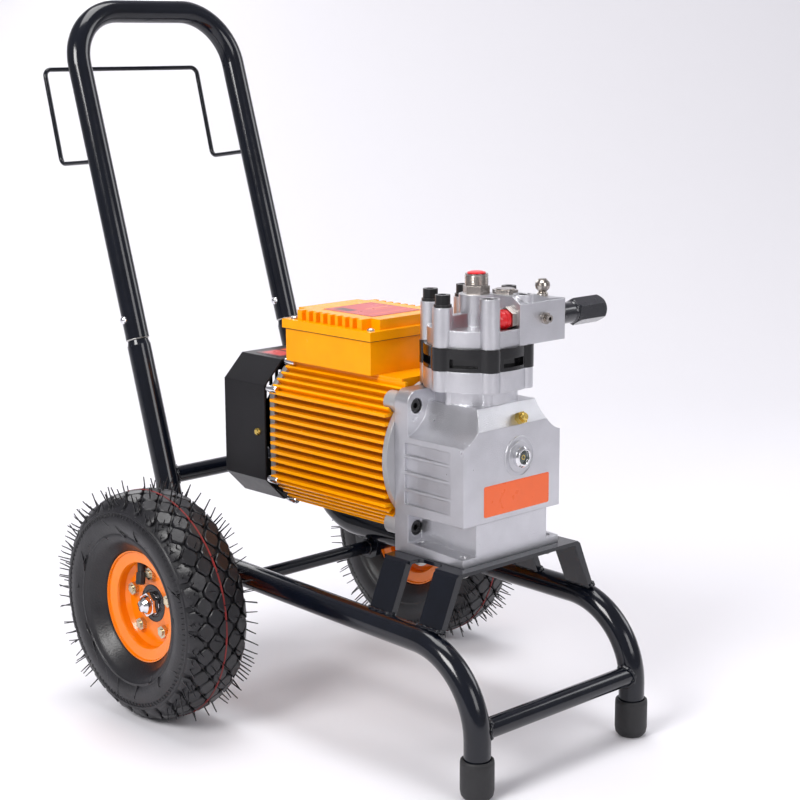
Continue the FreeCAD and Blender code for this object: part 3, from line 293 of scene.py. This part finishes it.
# ------------------------------------------------------------------ tyres
TREAD = [(129.75, 0), (129.4, 12), (127.5, 22), (124.0, 31), (119.0, 37), (110.0, 41)]


def crown(w):
    w = abs(w)
    for (r0, w0), (r1, w1) in zip(TREAD, TREAD[1:]):
        if w <= w1:
            return r0 + (r1 - r0) * (w - w0) / (w1 - w0)
    return TREAD[-1][0]


def wheel_point(side, r, th, w):
    return Vector((side * (210.5 + w) / 1000, L(-20.7) + r * math.sin(th) / 1000, 0.13 + r * math.cos(th) / 1000))


def tread_block(bm, side, outline, depth=5.2, sub=3):
    """outline is a convex loop of (theta, w); the block stands on the carcass up to the crown."""
    cx = sum(p[0] for p in outline) / len(outline)
    cw = sum(p[1] for p in outline) / len(outline)
    top, mid, low = [], [], []
    for th, w in outline:
        top.append(bm.verts.new(wheel_point(side, crown(cw + (w - cw) * 0.90) - 0.05, cx + (th - cx) * 0.90, cw + (w - cw) * 0.90)))
        mid.append(bm.verts.new(wheel_point(side, crown(w) - 0.9, th, w)))
        low.append(bm.verts.new(wheel_point(side, crown(w) - depth - 0.6, cx + (th - cx) * 1.06, cw + (w - cw) * 1.04)))
    n = len(outline)
    for a, b in ((mid, top), (low, mid)):
        for i in range(n):
            j = (i + 1) % n
            bm.faces.new((a[i], a[j], b[j], b[i]))
    bm.faces.new(top)


def hair(bm, side, r, th, w, dr, dth, dw, length, rad=0.00078, bend=0.13):
    base = wheel_point(side, r, th, w)
    d = (wheel_point(side, r + dr, th + dth, w + dw) - base).normalized()
    bendv = Vector((rnd.uniform(-1, 1) * 0.3, rnd.uniform(-1, 1), rnd.uniform(-1, 1))) * length * bend
    prev = None
    steps = 4
    for k in range(steps + 1):
        t = k / steps
        p = base + d * length * t + bendv * t * t
        tang = (d * length + bendv * 2 * t).normalized()
        x = tang.orthogonal().normalized()
        y = tang.cross(x)
        rr = rad * (1.12 - 0.35 * t)
        ring = [bm.verts.new(p + (x * math.cos(a) + y * math.sin(a)) * rr) for a in (0, 1.5708, 3.1416, 4.7124)]
        if prev:
            for i in range(4):
                j = (i + 1) % 4
                bm.faces.new((prev[i], prev[j], ring[j], ring[i]))
        prev = ring
    bm.faces.new(prev)


for side, word in ((-1, "left"), (1, "right")):
    bm = bmesh.new()
    mtx = frame_of((side, 0, 0), Vector((side * 0.2105, L(-20.7), 0.13)))
    drop = 5.4
    prof = [(51.3, 8.6), (51.4, 13.9), (54.2, 16.0), (61.5, 16.3), (63.8, 18.4), (64.3, 20.9), (66.2, 23.2), (69, 26), (72.4, 30.2), (76.5, 34.9),
            (80.5, 37.6), (82.6, 38.2), (83.6, 39.3), (85.4, 39.3), (86.4, 38.9), (92, 41.2), (98, 41.9), (104, 41.2), (108.6, 39.6), (109.8, 40.6),
            (111.6, 40.2), (113.2, 38.2), (114.5, 35.4), (119.0 - 0.4, 31), (124.2 - 2, 22), (130 - drop, 12), (130 - drop, 1.6)]
    full = [(r / 1000, z / 1000) for r, z in prof] + [(r / 1000, -z / 1000) for r, z in reversed(prof)]
    inner = [(55, -8.2), (62, -12.2), (67.5, -16), (74, -27), (86, -34), (97, -36), (108, -32), (117, -22), (119, 0), (117, 22), (108, 32), (97, 36), (86, 34),
             (74, 27), (67.5, 16), (62, 12.2), (55, 8.2)]
    lathe(bm, full + [(r / 1000, z / 1000) for r, z in inner], mtx, segs=144, closed=True)
    pitch = 2 * math.pi / 28
    mm = 1 / 128.0

    def diamond(th, w, a, b, k=0.3):
        """A lozenge with its corners cut, half-length a round the tyre and half-width b across it."""
        return [(th + x * a * mm, w + y * b) for x, y in ((-1, k * 0.6), (-1, -k * 0.6), (-k, -1), (k, -1), (1, -k * 0.6), (1, k * 0.6), (k, 1), (-k, 1))]

    for i in range(28):
        t0 = i * pitch
        tread_block(bm, side, diamond(t0, 0, 10.6, 8.4))
        for s in (-1, 1):
            tread_block(bm, side, diamond(t0 + pitch / 2, s * 12.1, 10.6, 8.4))
            tread_block(bm, side, diamond(t0, s * 23.8, 10.4, 8.0))
            c = t0 + pitch / 2
            tread_block(bm, side, [(c - 11.2 * mm, s * 33.6), (c - 2.6 * mm, s * 27.0), (c + 2.6 * mm, s * 27.0), (c + 11.2 * mm, s * 33.6),
                                   (c + 10.4 * mm, s * 38.9), (c - 10.4 * mm, s * 38.9)], depth=4.4)
            # Fine ribs below the shoulder.
            for q in range(4):
                tq = t0 + pitch * (q + 0.5) / 4
                lo = [wheel_point(side, 105.5, tq + dt, s * 40.9) for dt in (-0.006, 0.006)]
                hi = [wheel_point(side, 114.5, tq + dt, s * 36.6) for dt in (0.006, -0.006)]
                base = [bm.verts.new(p) for p in lo + hi]
                out = Vector((side * s * 0.0012, 0, 0))
                top = [bm.verts.new(p + out) for p in (lo[0] * 0.7 + lo[1] * 0.3, lo[0] * 0.3 + lo[1] * 0.7, hi[0] * 0.7 + hi[1] * 0.3, hi[0] * 0.3 + hi[1] * 0.7)]
                for m0 in range(4):
                    m1 = (m0 + 1) % 4
                    bm.faces.new((base[m0], base[m1], top[m1], top[m0]))
                bm.faces.new(top)
    # Rubber whiskers left by the mould's vents.
    for i in range(72):
        th = i * 2 * math.pi / 72 + rnd.uniform(-0.008, 0.008)
        down = math.cos(th) < -0.86
        for s, r, w, dr, dw, ln in ((1, 123, 32, 1.0, 0.8, 16), (-1, 123, 32, 1.0, 0.8, 16), (1, 118, 36.5, 1.0, 0.9, 15), (-1, 118, 36.5, 1.0, 0.9, 14),
                                    (1, 112.5, 38.5, 0.8, 0.05, 11)):
            if down and r > 100:
                continue
            if rnd.random() < (0.8 if r != 112.5 else 0.3):
                hair(bm, side, r, th + rnd.uniform(-0.01, 0.01), s * w, dr, rnd.uniform(-0.0016, 0.0016), s * dw * rnd.uniform(0.2, 0.8),
                     rnd.uniform(0.85, 1.0) * ln / 1000, bend=0.07)
    for i in range(46):
        th = i * 2 * math.pi / 46 + rnd.uniform(-0.02, 0.02)
        if math.cos(th) < -0.86:
            continue
        for w in (-14.5, 0.0, 14.5):
            if rnd.random() < 0.6:
                hair(bm, side, crown(w) - 2.0, th, w, 1, rnd.uniform(-0.0016, 0.0016), rnd.uniform(-0.15, 0.15), rnd.uniform(0.010, 0.016), bend=0.07)
    # Long curled whiskers on the outer sidewall.
    for i in range(26):
        th = i * 2 * math.pi / 26 + rnd.uniform(-0.08, 0.08)
        hair(bm, side, 88 + rnd.uniform(-4, 6), th, 39.9, rnd.uniform(0.2, 1.0), rnd.uniform(-0.05, 0.05), 0.2, rnd.uniform(0.014, 0.021),
             rad=0.0008, bend=0.4)
    for v in bm.verts:
        if v.co.z < 0.0006:
            v.co.z = 0.0006
        if abs(v.co.x) > 0.2525:
            v.co.x = side * 0.2525
    bmesh.ops.recalc_face_normals(bm, faces=bm.faces)
    piece("tyre_tread_" + word, bm, M["tyre"], "wheel_" + word, ["tyre_" + word], smooth=38)
    bm = bmesh.new()
    lathe(bm, [(r / 1000, w / 1000) for r, w in ((129.0, -1.0), (129.86, -0.85), (129.86, 0.85), (129.0, 1.0))], mtx, segs=204)
    for v in bm.verts:
        v.co.z = max(v.co.z, 0.0005)
    piece("tyre_line_" + word, bm, M["red_line"], "wheel_" + word)
    # Seal lip and retaining ring over the outer bearing.
    bm = bmesh.new()
    lathe(bm, [(r / 1000, w / 1000) for r, w in ((9.0, 2.05), (12.6, 2.05), (13.0, 2.5), (13.5, 2.2), (15.4, 2.2), (15.9, 2.9), (19.8, 3.1), (21.3, 2.7),
                                                 (21.6, 2.3))], mtx, segs=64)
    piece("hub_seal_" + word, bm, M["black_ring"], "wheel_" + word)
    # Ribs on the valve cap.
    rad = Vector((0, math.sin(math.radians(18)), math.cos(math.radians(18))))
    foot = Vector((side * 0.2105, L(-20.7), 0.13)) + rad * 0.051 + Vector((side * 0.0046, 0, 0))
    tip = Vector((side * 0.2105, L(-20.7), 0.13)) + rad * 0.0245 + Vector((side * 0.014, 0, 0))
    d = (tip - foot).normalized()
    ln = (tip - foot).length
    vm = frame_of(d, foot)
    bm = bmesh.new()
    prof = [(0.0048, 0.001), (0.0056, 0.003), (0.0050, 0.005), (0.0040, ln * 0.5), (0.0041, ln * 0.52), (0.0052, ln * 0.54), (0.0054, ln * 0.6),
            (0.0054, ln - 0.001), (0.0046, ln + 0.0003), (0.0, ln + 0.0006)]
    rings = lathe(bm, prof, vm, segs=40)
    for k in (5, 6, 7):
        for i, v in enumerate(rings[k]):
            if i % 4 < 2:
                c = vm @ Vector((0, 0, prof[k][1]))
                v.co = c + (v.co - c) * 0.9
    piece("valve_cap_" + word, bm, M["rubber"], "wheel_" + word)


# ------------------------------------------------------------------ weld beads
def weld(bm, pts, radius, closed=True, seed=0):
    """A bead whose rings keep one frame, so it doesn't twist."""
    n = len(pts)
    ref = None
    rings = []
    for i, p in enumerate(pts):
        a = pts[(i - 1) % n] if (closed or i) else pts[0]
        b = pts[(i + 1) % n] if (closed or i < n - 1) else pts[-1]
        t = (b - a).normalized()
        x = t.orthogonal() if ref is None else ref - t * ref.dot(t)
        x.normalize()
        ref = x.copy()
        y = t.cross(x)
        rr = radius * (1 + 0.2 * math.sin(i * 1.3 + seed) + 0.15 * noise.noise(p * 350))
        if not closed and i in (0, n - 1):
            rr *= 0.3
        rings.append([bm.verts.new(p + (x * math.cos(k * math.pi / 4) + y * math.sin(k * math.pi / 4)) * rr) for k in range(8)])
    for i in range(n - 1):
        a, b = rings[i], rings[i + 1]
        for k in range(8):
            j = (k + 1) % 8
            bm.faces.new((a[k], a[j], b[j], b[k]))
    if closed:
        a, b = rings[-1], rings[0]
        best = min(range(8), key=lambda s: sum((a[k].co - b[(k + s) % 8].co).length for k in range(8)))
        for k in range(8):
            j = (k + 1) % 8
            bm.faces.new((a[k], a[j], b[(j + best) % 8], b[(k + best) % 8]))
    else:
        bm.faces.new(list(reversed(rings[0])))
        bm.faces.new(rings[-1])


LEAN = math.atan2(249.5 - 52, 785.9 - 156.6)
UP = (0, math.sin(LEAN), math.cos(LEAN))


def on_upright(x, s):
    return Vector((x / 1000, L(52 + s * UP[1]), (156.6 + s * UP[2]) / 1000))


def spread(y):
    return 116.3 + (148.45 - y) * 0.00925


def cope(bm, side, cy, cz, r, xc, dirn, tube_r=14.0, seed=0):
    pts = []
    for i in range(44):
        a = 2 * math.pi * i / 44
        y, z = (r + 0.4) * math.cos(a), (r + 0.4) * math.sin(a)
        dist = y * dirn[1] - z * dirn[0]
        x = xc - math.sqrt(max(1, tube_r ** 2 - min(abs(dist), tube_r - 0.5) ** 2)) - 0.4
        pts.append(Vector((side * x / 1000, L(cy + y), (cz + z) / 1000)))
    weld(bm, pts, 0.0021, seed=seed)


bm = bmesh.new()
for side in (-1, 1):
    cope(bm, side, -437.9, 70, 10.75, spread(-437.9), (0, 1), seed=side)
    cope(bm, side, 79.0, 242.7, 10, spread(79), (UP[1], UP[2]), seed=side + 2)
    for y0, y1 in ((-383, -350), (-309, -276)):
        for off, zz in ((-1.5, 157.2), (7.2, 160.8)):
            pts = []
            for k in range(16):
                y = y0 + (y1 - y0) * k / 15
                xc, zc = spread(y), 156.6 - (52 - y) * 0.0234
                pts.append(Vector((side * (xc - 14.3 * math.cos(math.radians(58 if off < 0 else 88))) / 1000, L(y),
                                   (zc + 14.3 * math.sin(math.radians(58 if off < 0 else 88))) / 1000)))
            weld(bm, pts, 0.0023, closed=False, seed=y0)
        for ye in (y0, y1):
            xc, zc = spread(ye), 156.6 - (52 - ye) * 0.0234
            pts = [Vector((side * (xc - 14.4 * math.cos(math.radians(a))) / 1000, L(ye), (zc + 14.4 * math.sin(math.radians(a))) / 1000))
                   for a in range(58, 90, 4)]
            weld(bm, pts, 0.0022, closed=False, seed=ye)
    xl = spread(-20.7)
    for dx in (-4.6, 4.6):
        pts = [Vector((side * (xl + dx) / 1000, L(-20.7 + y), 0.1426)) for y in range(-19, 20, 3)]
        weld(bm, pts, 0.0019, closed=False, seed=dx)
        pts = [Vector((side * (xl + dx) / 1000, L(-20.7) + 0.0086 * math.cos(a / 12 * 2 * math.pi), 0.13 + 0.0086 * math.sin(a / 12 * 2 * math.pi)))
               for a in range(24)][:12]
        weld(bm, pts, 0.0016, seed=dx)
    for s_, zz in ((1, 609.5 if side < 0 else 612.2),):
        yc = 52 + (zz - 156.6) * math.tan(LEAN) + 14.4
        pts = [Vector((side * 116.3 / 1000 + 0.0034 * math.cos(a), L(yc + 0.6), zz / 1000 + 0.0034 * math.sin(a)))
               for a in [k * 2 * math.pi / 14 for k in range(14)]]
        weld(bm, pts, 0.0015, seed=3)
bmesh.ops.recalc_face_normals(bm, faces=bm.faces)
piece("weld_beads", bm, M["black_paint"], "chassis", smooth=70)


# ------------------------------------------------------------------ small detail
def P(x, y, z):
    return Vector((x / 1000, L(y), z / 1000))


def solid(bm, pts, vec, mat=0):
    """Pushes a flat loop of points along a vector."""
    a = [bm.verts.new(p) for p in pts]
    b = [bm.verts.new(p + vec) for p in pts]
    n = len(pts)
    fs = [bm.faces.new(list(reversed(a))), bm.faces.new(b)]
    for i in range(n):
        j = (i + 1) % n
        fs.append(bm.faces.new((a[i], a[j], b[j], b[i])))
    for f in fs:
        f.material_index = mat


def rounded(w, h, r, n=6):
    out = []
    for cx, cy, a0 in ((w - r, h - r, 0), (r - w, h - r, 90), (r - w, r - h, 180), (w - r, r - h, 270)):
        for k in range(n + 1):
            a = math.radians(a0 + 90 * k / n)
            out.append((cx + r * math.cos(a), cy + r * math.sin(a)))
    return out


def plaque(name, centre, ux, uy, w, h, r, mat, parts=(), mats=(), body="chassis", thick=0.00025):
    """A thin sticker with rounded corners; parts are coloured rectangles on it: (x, y, w, h, material index)."""
    ux, uy = Vector(ux).normalized(), Vector(uy).normalized()
    n = ux.cross(uy)
    bm = bmesh.new()
    solid(bm, [centre + ux * x / 1000 + uy * y / 1000 for x, y in rounded(w / 2, h / 2, r)], n * thick)
    for x, y, pw, ph, mi in parts:
        solid(bm, [centre + n * thick + ux * (x + a * pw / 2) / 1000 + uy * (y + b * ph / 2) / 1000 for a, b in ((-1, -1), (1, -1), (1, 1), (-1, 1))],
              n * 0.00004, mi)
    bmesh.ops.recalc_face_normals(bm, faces=bm.faces)
    return piece(name, bm, [mat] + list(mats), body, smooth=30)


# Plain stickers: colour fields only.
plaque("pump_sticker", P(6.5, -371.02, 280), (1, 0, 0), (0, 0, 1), 100, 33, 2.2, M["label_orange"])
plaque("lid_sticker", P(0, -156, 455.02), (1, 0, 0), (0, 1, 0), 74, 82, 2.0, M["label_red"],
       mats=[M["label_dark"], M["label_light"]],
       parts=[(0, 39.4, 70, 1.0, 1), (0, -39.4, 70, 1.0, 1), (35.4, 0, 1.0, 79.8, 1), (-35.4, 0, 1.0, 79.8, 1), (-22, 20, 14, 26, 1),
              (12, 6, 34, 3.0, 2), (12, -4, 34, 1.2, 2), (-4, -26, 50, 1.2, 2)])
plaque("cover_sticker", P(-4, -28, 394.02), (1, 0, 0), (0, 1, 0), 84, 46, 2.0, M["label_dark"],
       mats=[M["label_red"], M["label_orange"], M["label_light"]],
       parts=[(-26, 0, 22, 34, 1), (0, 6, 20, 20, 2), (24, 2, 20, 28, 1), (2, -14, 30, 6, 3)])


# Sight glass: a bright bezel, a dark lens and a float ring behind it.
gx, gz = 9.5, 321
bm = bmesh.new()
m = frame_of((0, -1, 0), P(gx, -376.3, gz))
lathe(bm, [(0.0, 0.0004), (0.003, 0.0006), (0.0058, 0.0004), (0.0074, 0.0)], m, segs=48)
piece("sight_lens", bm, M["glass"], "chassis")
bm = bmesh.new()
m = frame_of((0, -1, 0), P(gx, -378.6, gz))
lathe(bm, [(0.0075, -0.0002), (0.0078, 0.00035), (0.0088, 0.0005), (0.0095, 0.0002), (0.0096, -0.0006), (0.0102, -0.0012), (0.0113, -0.0016)], m, segs=64)
piece("sight_bezel", bm, M["chrome"], "chassis", smooth=50)
bm = bmesh.new()
for r0, r1 in ((0.0018, 0.0026),):
    m = frame_of((0, -1, 0), P(gx, -376.75, gz))
    lathe(bm, [(r0, 0), (r0, 0.0004), (r1, 0.0004), (r1, 0)], m, segs=32, closed=True)
piece("sight_float", bm, M["brass"], "chassis")
# Raised ring cast round the glass.
bm = bmesh.new()
m = frame_of((0, -1, 0), P(gx, -371.1, gz))
lathe(bm, [(0.0205, -0.0003), (0.0207, 0.0005), (0.0214, 0.0009), (0.0221, 0.0005), (0.0223, -0.0003)], m, segs=72)
piece("sight_ring", bm, M["cast_alu"], "chassis", smooth=60)


# Thread on the suction inlet: six shallow ridges.
bm = bmesh.new()
prof = []
for k in range(6):
    z = 0.4990 + k * 0.00165
    prof += [(0.01218, z), (0.0126, z + 0.00045), (0.0126, z + 0.00085), (0.01218, z + 0.0013)]
lathe(bm, prof, Matrix.Translation(P(0, -317, 0)), segs=72)
piece("inlet_thread", bm, M["nickel"], "chassis", smooth=25)

# Ribs moulded round the red cap, and its two grip rings.
bm = bmesh.new()
m = frame_of((-1, 0, 0), P(1.9, -356, 465.6))
for z0, r in ((0.0012, 0.00985), (0.0032, 0.00985), (0.0074, 0.00908), (0.0098, 0.00908)):
    lathe(bm, [(r - 0.0002, z0), (r + 0.00025, z0 + 0.0003), (r + 0.00025, z0 + 0.0009), (r - 0.0002, z0 + 0.0012)], m, segs=48)
piece("outlet_cap_ribs", bm, M["red_plastic"], "chassis", smooth=50)

# Two collar rings on the knob.
bm = bmesh.new()
m = frame_of((1, 0, 0), P(0, -352, 461))
for z0 in (0.0835, 0.0880):
    lathe(bm, [(0.0114, z0), (0.0120, z0 + 0.0006), (0.0120, z0 + 0.0018), (0.0114, z0 + 0.0024)], m, segs=64)
piece("knob_collar_rings", bm, M["knob_black"], "knob", smooth=50)

# Bright lugs where the fan cover is screwed to the motor's corners.
bm = bmesh.new()
for sx in (-1, 1):
    for sz in (-1, 1):
        for dx, dz in ((80.2, 52.5), (52.5, 80.2)):
            m = frame_of((0, 1, 0), P(sx * dx, -71.9, 312 + sz * dz))
            lathe(bm, [(0.0, -0.0125), (0.0032, -0.0125), (0.0040, -0.0115), (0.0040, 0.0), (0.0034, 0.0036), (0.0, 0.0040)], m, segs=28)
piece("shield_lugs", bm, M["chrome"], "chassis", smooth=40)

# Crossed slots on the lid screws.
bm = bmesh.new()
for sx in (-1, 1):
    for y in (-213, -87):
        for a in (0.4, 0.4 + math.pi / 2):
            d = Vector((math.cos(a), math.sin(a), 0))
            t = Vector((-math.sin(a), math.cos(a), 0))
            c = P(sx * 55, y, 446.15)
            solid(bm, [c + d * 0.0022 + t * 0.0004, c - d * 0.0022 + t * 0.0004, c - d * 0.0022 - t * 0.0004, c + d * 0.0022 - t * 0.0004],
                  Vector((0, 0, 0.0002)))
bmesh.ops.recalc_face_normals(bm, faces=bm.faces)
piece("lid_screw_slots", bm, M["black_oxide"], "chassis")

# Gasket line under the lid, and the seam between the handle and its socket.
bm = bmesh.new()
pts = [P(x, -150 + y, 433.2) for x, y in rounded(62.7, 70.7, 3, 5)]
weld_r = 0.0006
for i in range(len(pts)):
    a, b = pts[i], pts[(i + 1) % len(pts)]
    d = (b - a).normalized()
    s = d.cross(Vector((0, 0, 1)))
    q = [a + s * weld_r + Vector((0, 0, weld_r)), a - s * weld_r + Vector((0, 0, weld_r)), a - s * weld_r - Vector((0, 0, weld_r)),
         a + s * weld_r - Vector((0, 0, weld_r))]
    solid(bm, q, b - a)
bmesh.ops.recalc_face_normals(bm, faces=bm.faces)
piece("lid_gasket", bm, M["rubber"], "chassis")
bm = bmesh.new()
up = Vector(UP)
for side in (-1, 1):
    m = frame_of(up, on_upright(side * 116.3, 257.4))
    lathe(bm, [(0.0121, -0.0012), (0.0134, -0.0008), (0.01385, 0.0002), (0.0134, 0.0008), (0.0121, 0.0008)], m, segs=48)
piece("socket_rings", bm, M["steel"], "chassis", smooth=60)

# Lips on the rubber feet.
bm = bmesh.new()
for side in (-1, 1):
    m = Matrix.Translation(P(side * 121.72, -437.87, 0))
    lathe(bm, [(0.01405, 0.0408), (0.0150, 0.0420), (0.0162, 0.0422), (0.0171, 0.0414), (0.0175, 0.0396)], m, segs=56)
    for z in (0.0095, 0.0125):
        lathe(bm, [(0.0172, z), (0.0176, z + 0.0006), (0.0176, z + 0.0014), (0.0172, z + 0.0020)], m, segs=56)
piece("foot_lips", bm, M["rubber"], "chassis", smooth=60)


# ------------------------------------------------------------------ room, camera, light
def glossless(name, color, rough=0.6):
    m = bpy.data.materials.new(name)
    m.use_nodes = True
    nt = m.node_tree
    b = nt.nodes["Principled BSDF"]
    b.inputs["Roughness"].default_value = rough
    b.inputs["Specular IOR Level"].default_value = 0.25
    n = nt.nodes.new("ShaderNodeTexNoise")
    n.inputs["Scale"].default_value = 3
    r = nt.nodes.new("ShaderNodeValToRGB")
    r.color_ramp.elements[0].color = (*[c * 0.99 for c in color], 1)
    r.color_ramp.elements[1].color = (*color, 1)
    nt.links.new(n.outputs["Fac"], r.inputs["Fac"])
    nt.links.new(r.outputs["Color"], b.inputs["Base Color"])
    return m


bm = bmesh.new()
prof = [(-9, 0), (1.6, 0)] + [(1.6 + 1.6 * math.sin(a), 1.6 - 1.6 * math.cos(a)) for a in [math.radians(k * 6) for k in range(1, 16)]] + [(3.2, 7)]
rows = []
yaw = math.radians(43.7)
for u, z in prof:
    rows.append([bm.verts.new(Vector((math.sin(yaw) * u + math.cos(yaw) * s, math.cos(yaw) * u - math.sin(yaw) * s, z))) for s in (-9, 9)])
for a, b in zip(rows, rows[1:]):
    bm.faces.new((a[0], a[1], b[1], b[0]))
me = bpy.data.meshes.new("backdrop")
bm.to_mesh(me)
bm.free()
me.shade_smooth()
floor = bpy.data.objects.new("backdrop", me)
sc.collection.objects.link(floor)
me.materials.append(glossless("studio_floor", (0.80, 0.79, 0.825)))

cam = bpy.data.cameras.new("camera")
cam.sensor_width = 36
cam.lens = 80.508
cam.clip_end = 60
camo = bpy.data.objects.new("camera", cam)
sc.collection.objects.link(camo)
yw, pt, rl = math.radians(43.71), math.radians(11.28), math.radians(-0.225)
f = Vector((math.sin(yw) * math.cos(pt), math.cos(yw) * math.cos(pt), -math.sin(pt)))
r = Vector((math.cos(yw), -math.sin(yw), 0))
u = r.cross(f)
r2 = r * math.cos(rl) + u * math.sin(rl)
u2 = -r * math.sin(rl) + u * math.cos(rl)
camo.matrix_world = Matrix.Translation((-1.3441, -1.6065 + 0.075191, 0.7463)) @ Matrix((r2, u2, -f)).transposed().to_4x4()
sc.camera = camo


def area(name, loc, target, size, power, color=(1, 1, 1), size_y=None):
    l = bpy.data.lights.new(name, "AREA")
    l.energy, l.size, l.color = power, size, color
    if size_y:
        l.shape, l.size_y = "RECTANGLE", size_y
    o = bpy.data.objects.new(name, l)
    sc.collection.objects.link(o)
    o.location = loc
    o.rotation_euler = (Vector(target) - Vector(loc)).to_track_quat("-Z", "Y").to_euler()
    return o


mid = (0, 0, 0.35)
area("key_left", (-2.6, -0.4, 2.2), mid, 1.2, 78, (1, 0.99, 0.98))
area("front_box", (-0.2, -3.0, 1.5), mid, 1.2, 20, (1, 0.99, 1))
area("top_box", (0.2, 0.2, 3.2), mid, 1.7, 54)
area("right_box", (2.6, -1.2, 1.6), mid, 1.2, 18, (0.97, 0.98, 1))
area("back_box", (1.0, 2.6, 1.8), mid, 1.6, 20)
w = bpy.data.worlds.new("studio")
w.use_nodes = True
w.node_tree.nodes["Background"].inputs["Color"].default_value = (0.86, 0.85, 0.90, 1)
w.node_tree.nodes["Background"].inputs["Strength"].default_value = 0.35
sc.world = w
sc.view_settings.view_transform = "Standard"
sc.view_settings.exposure = 0.0
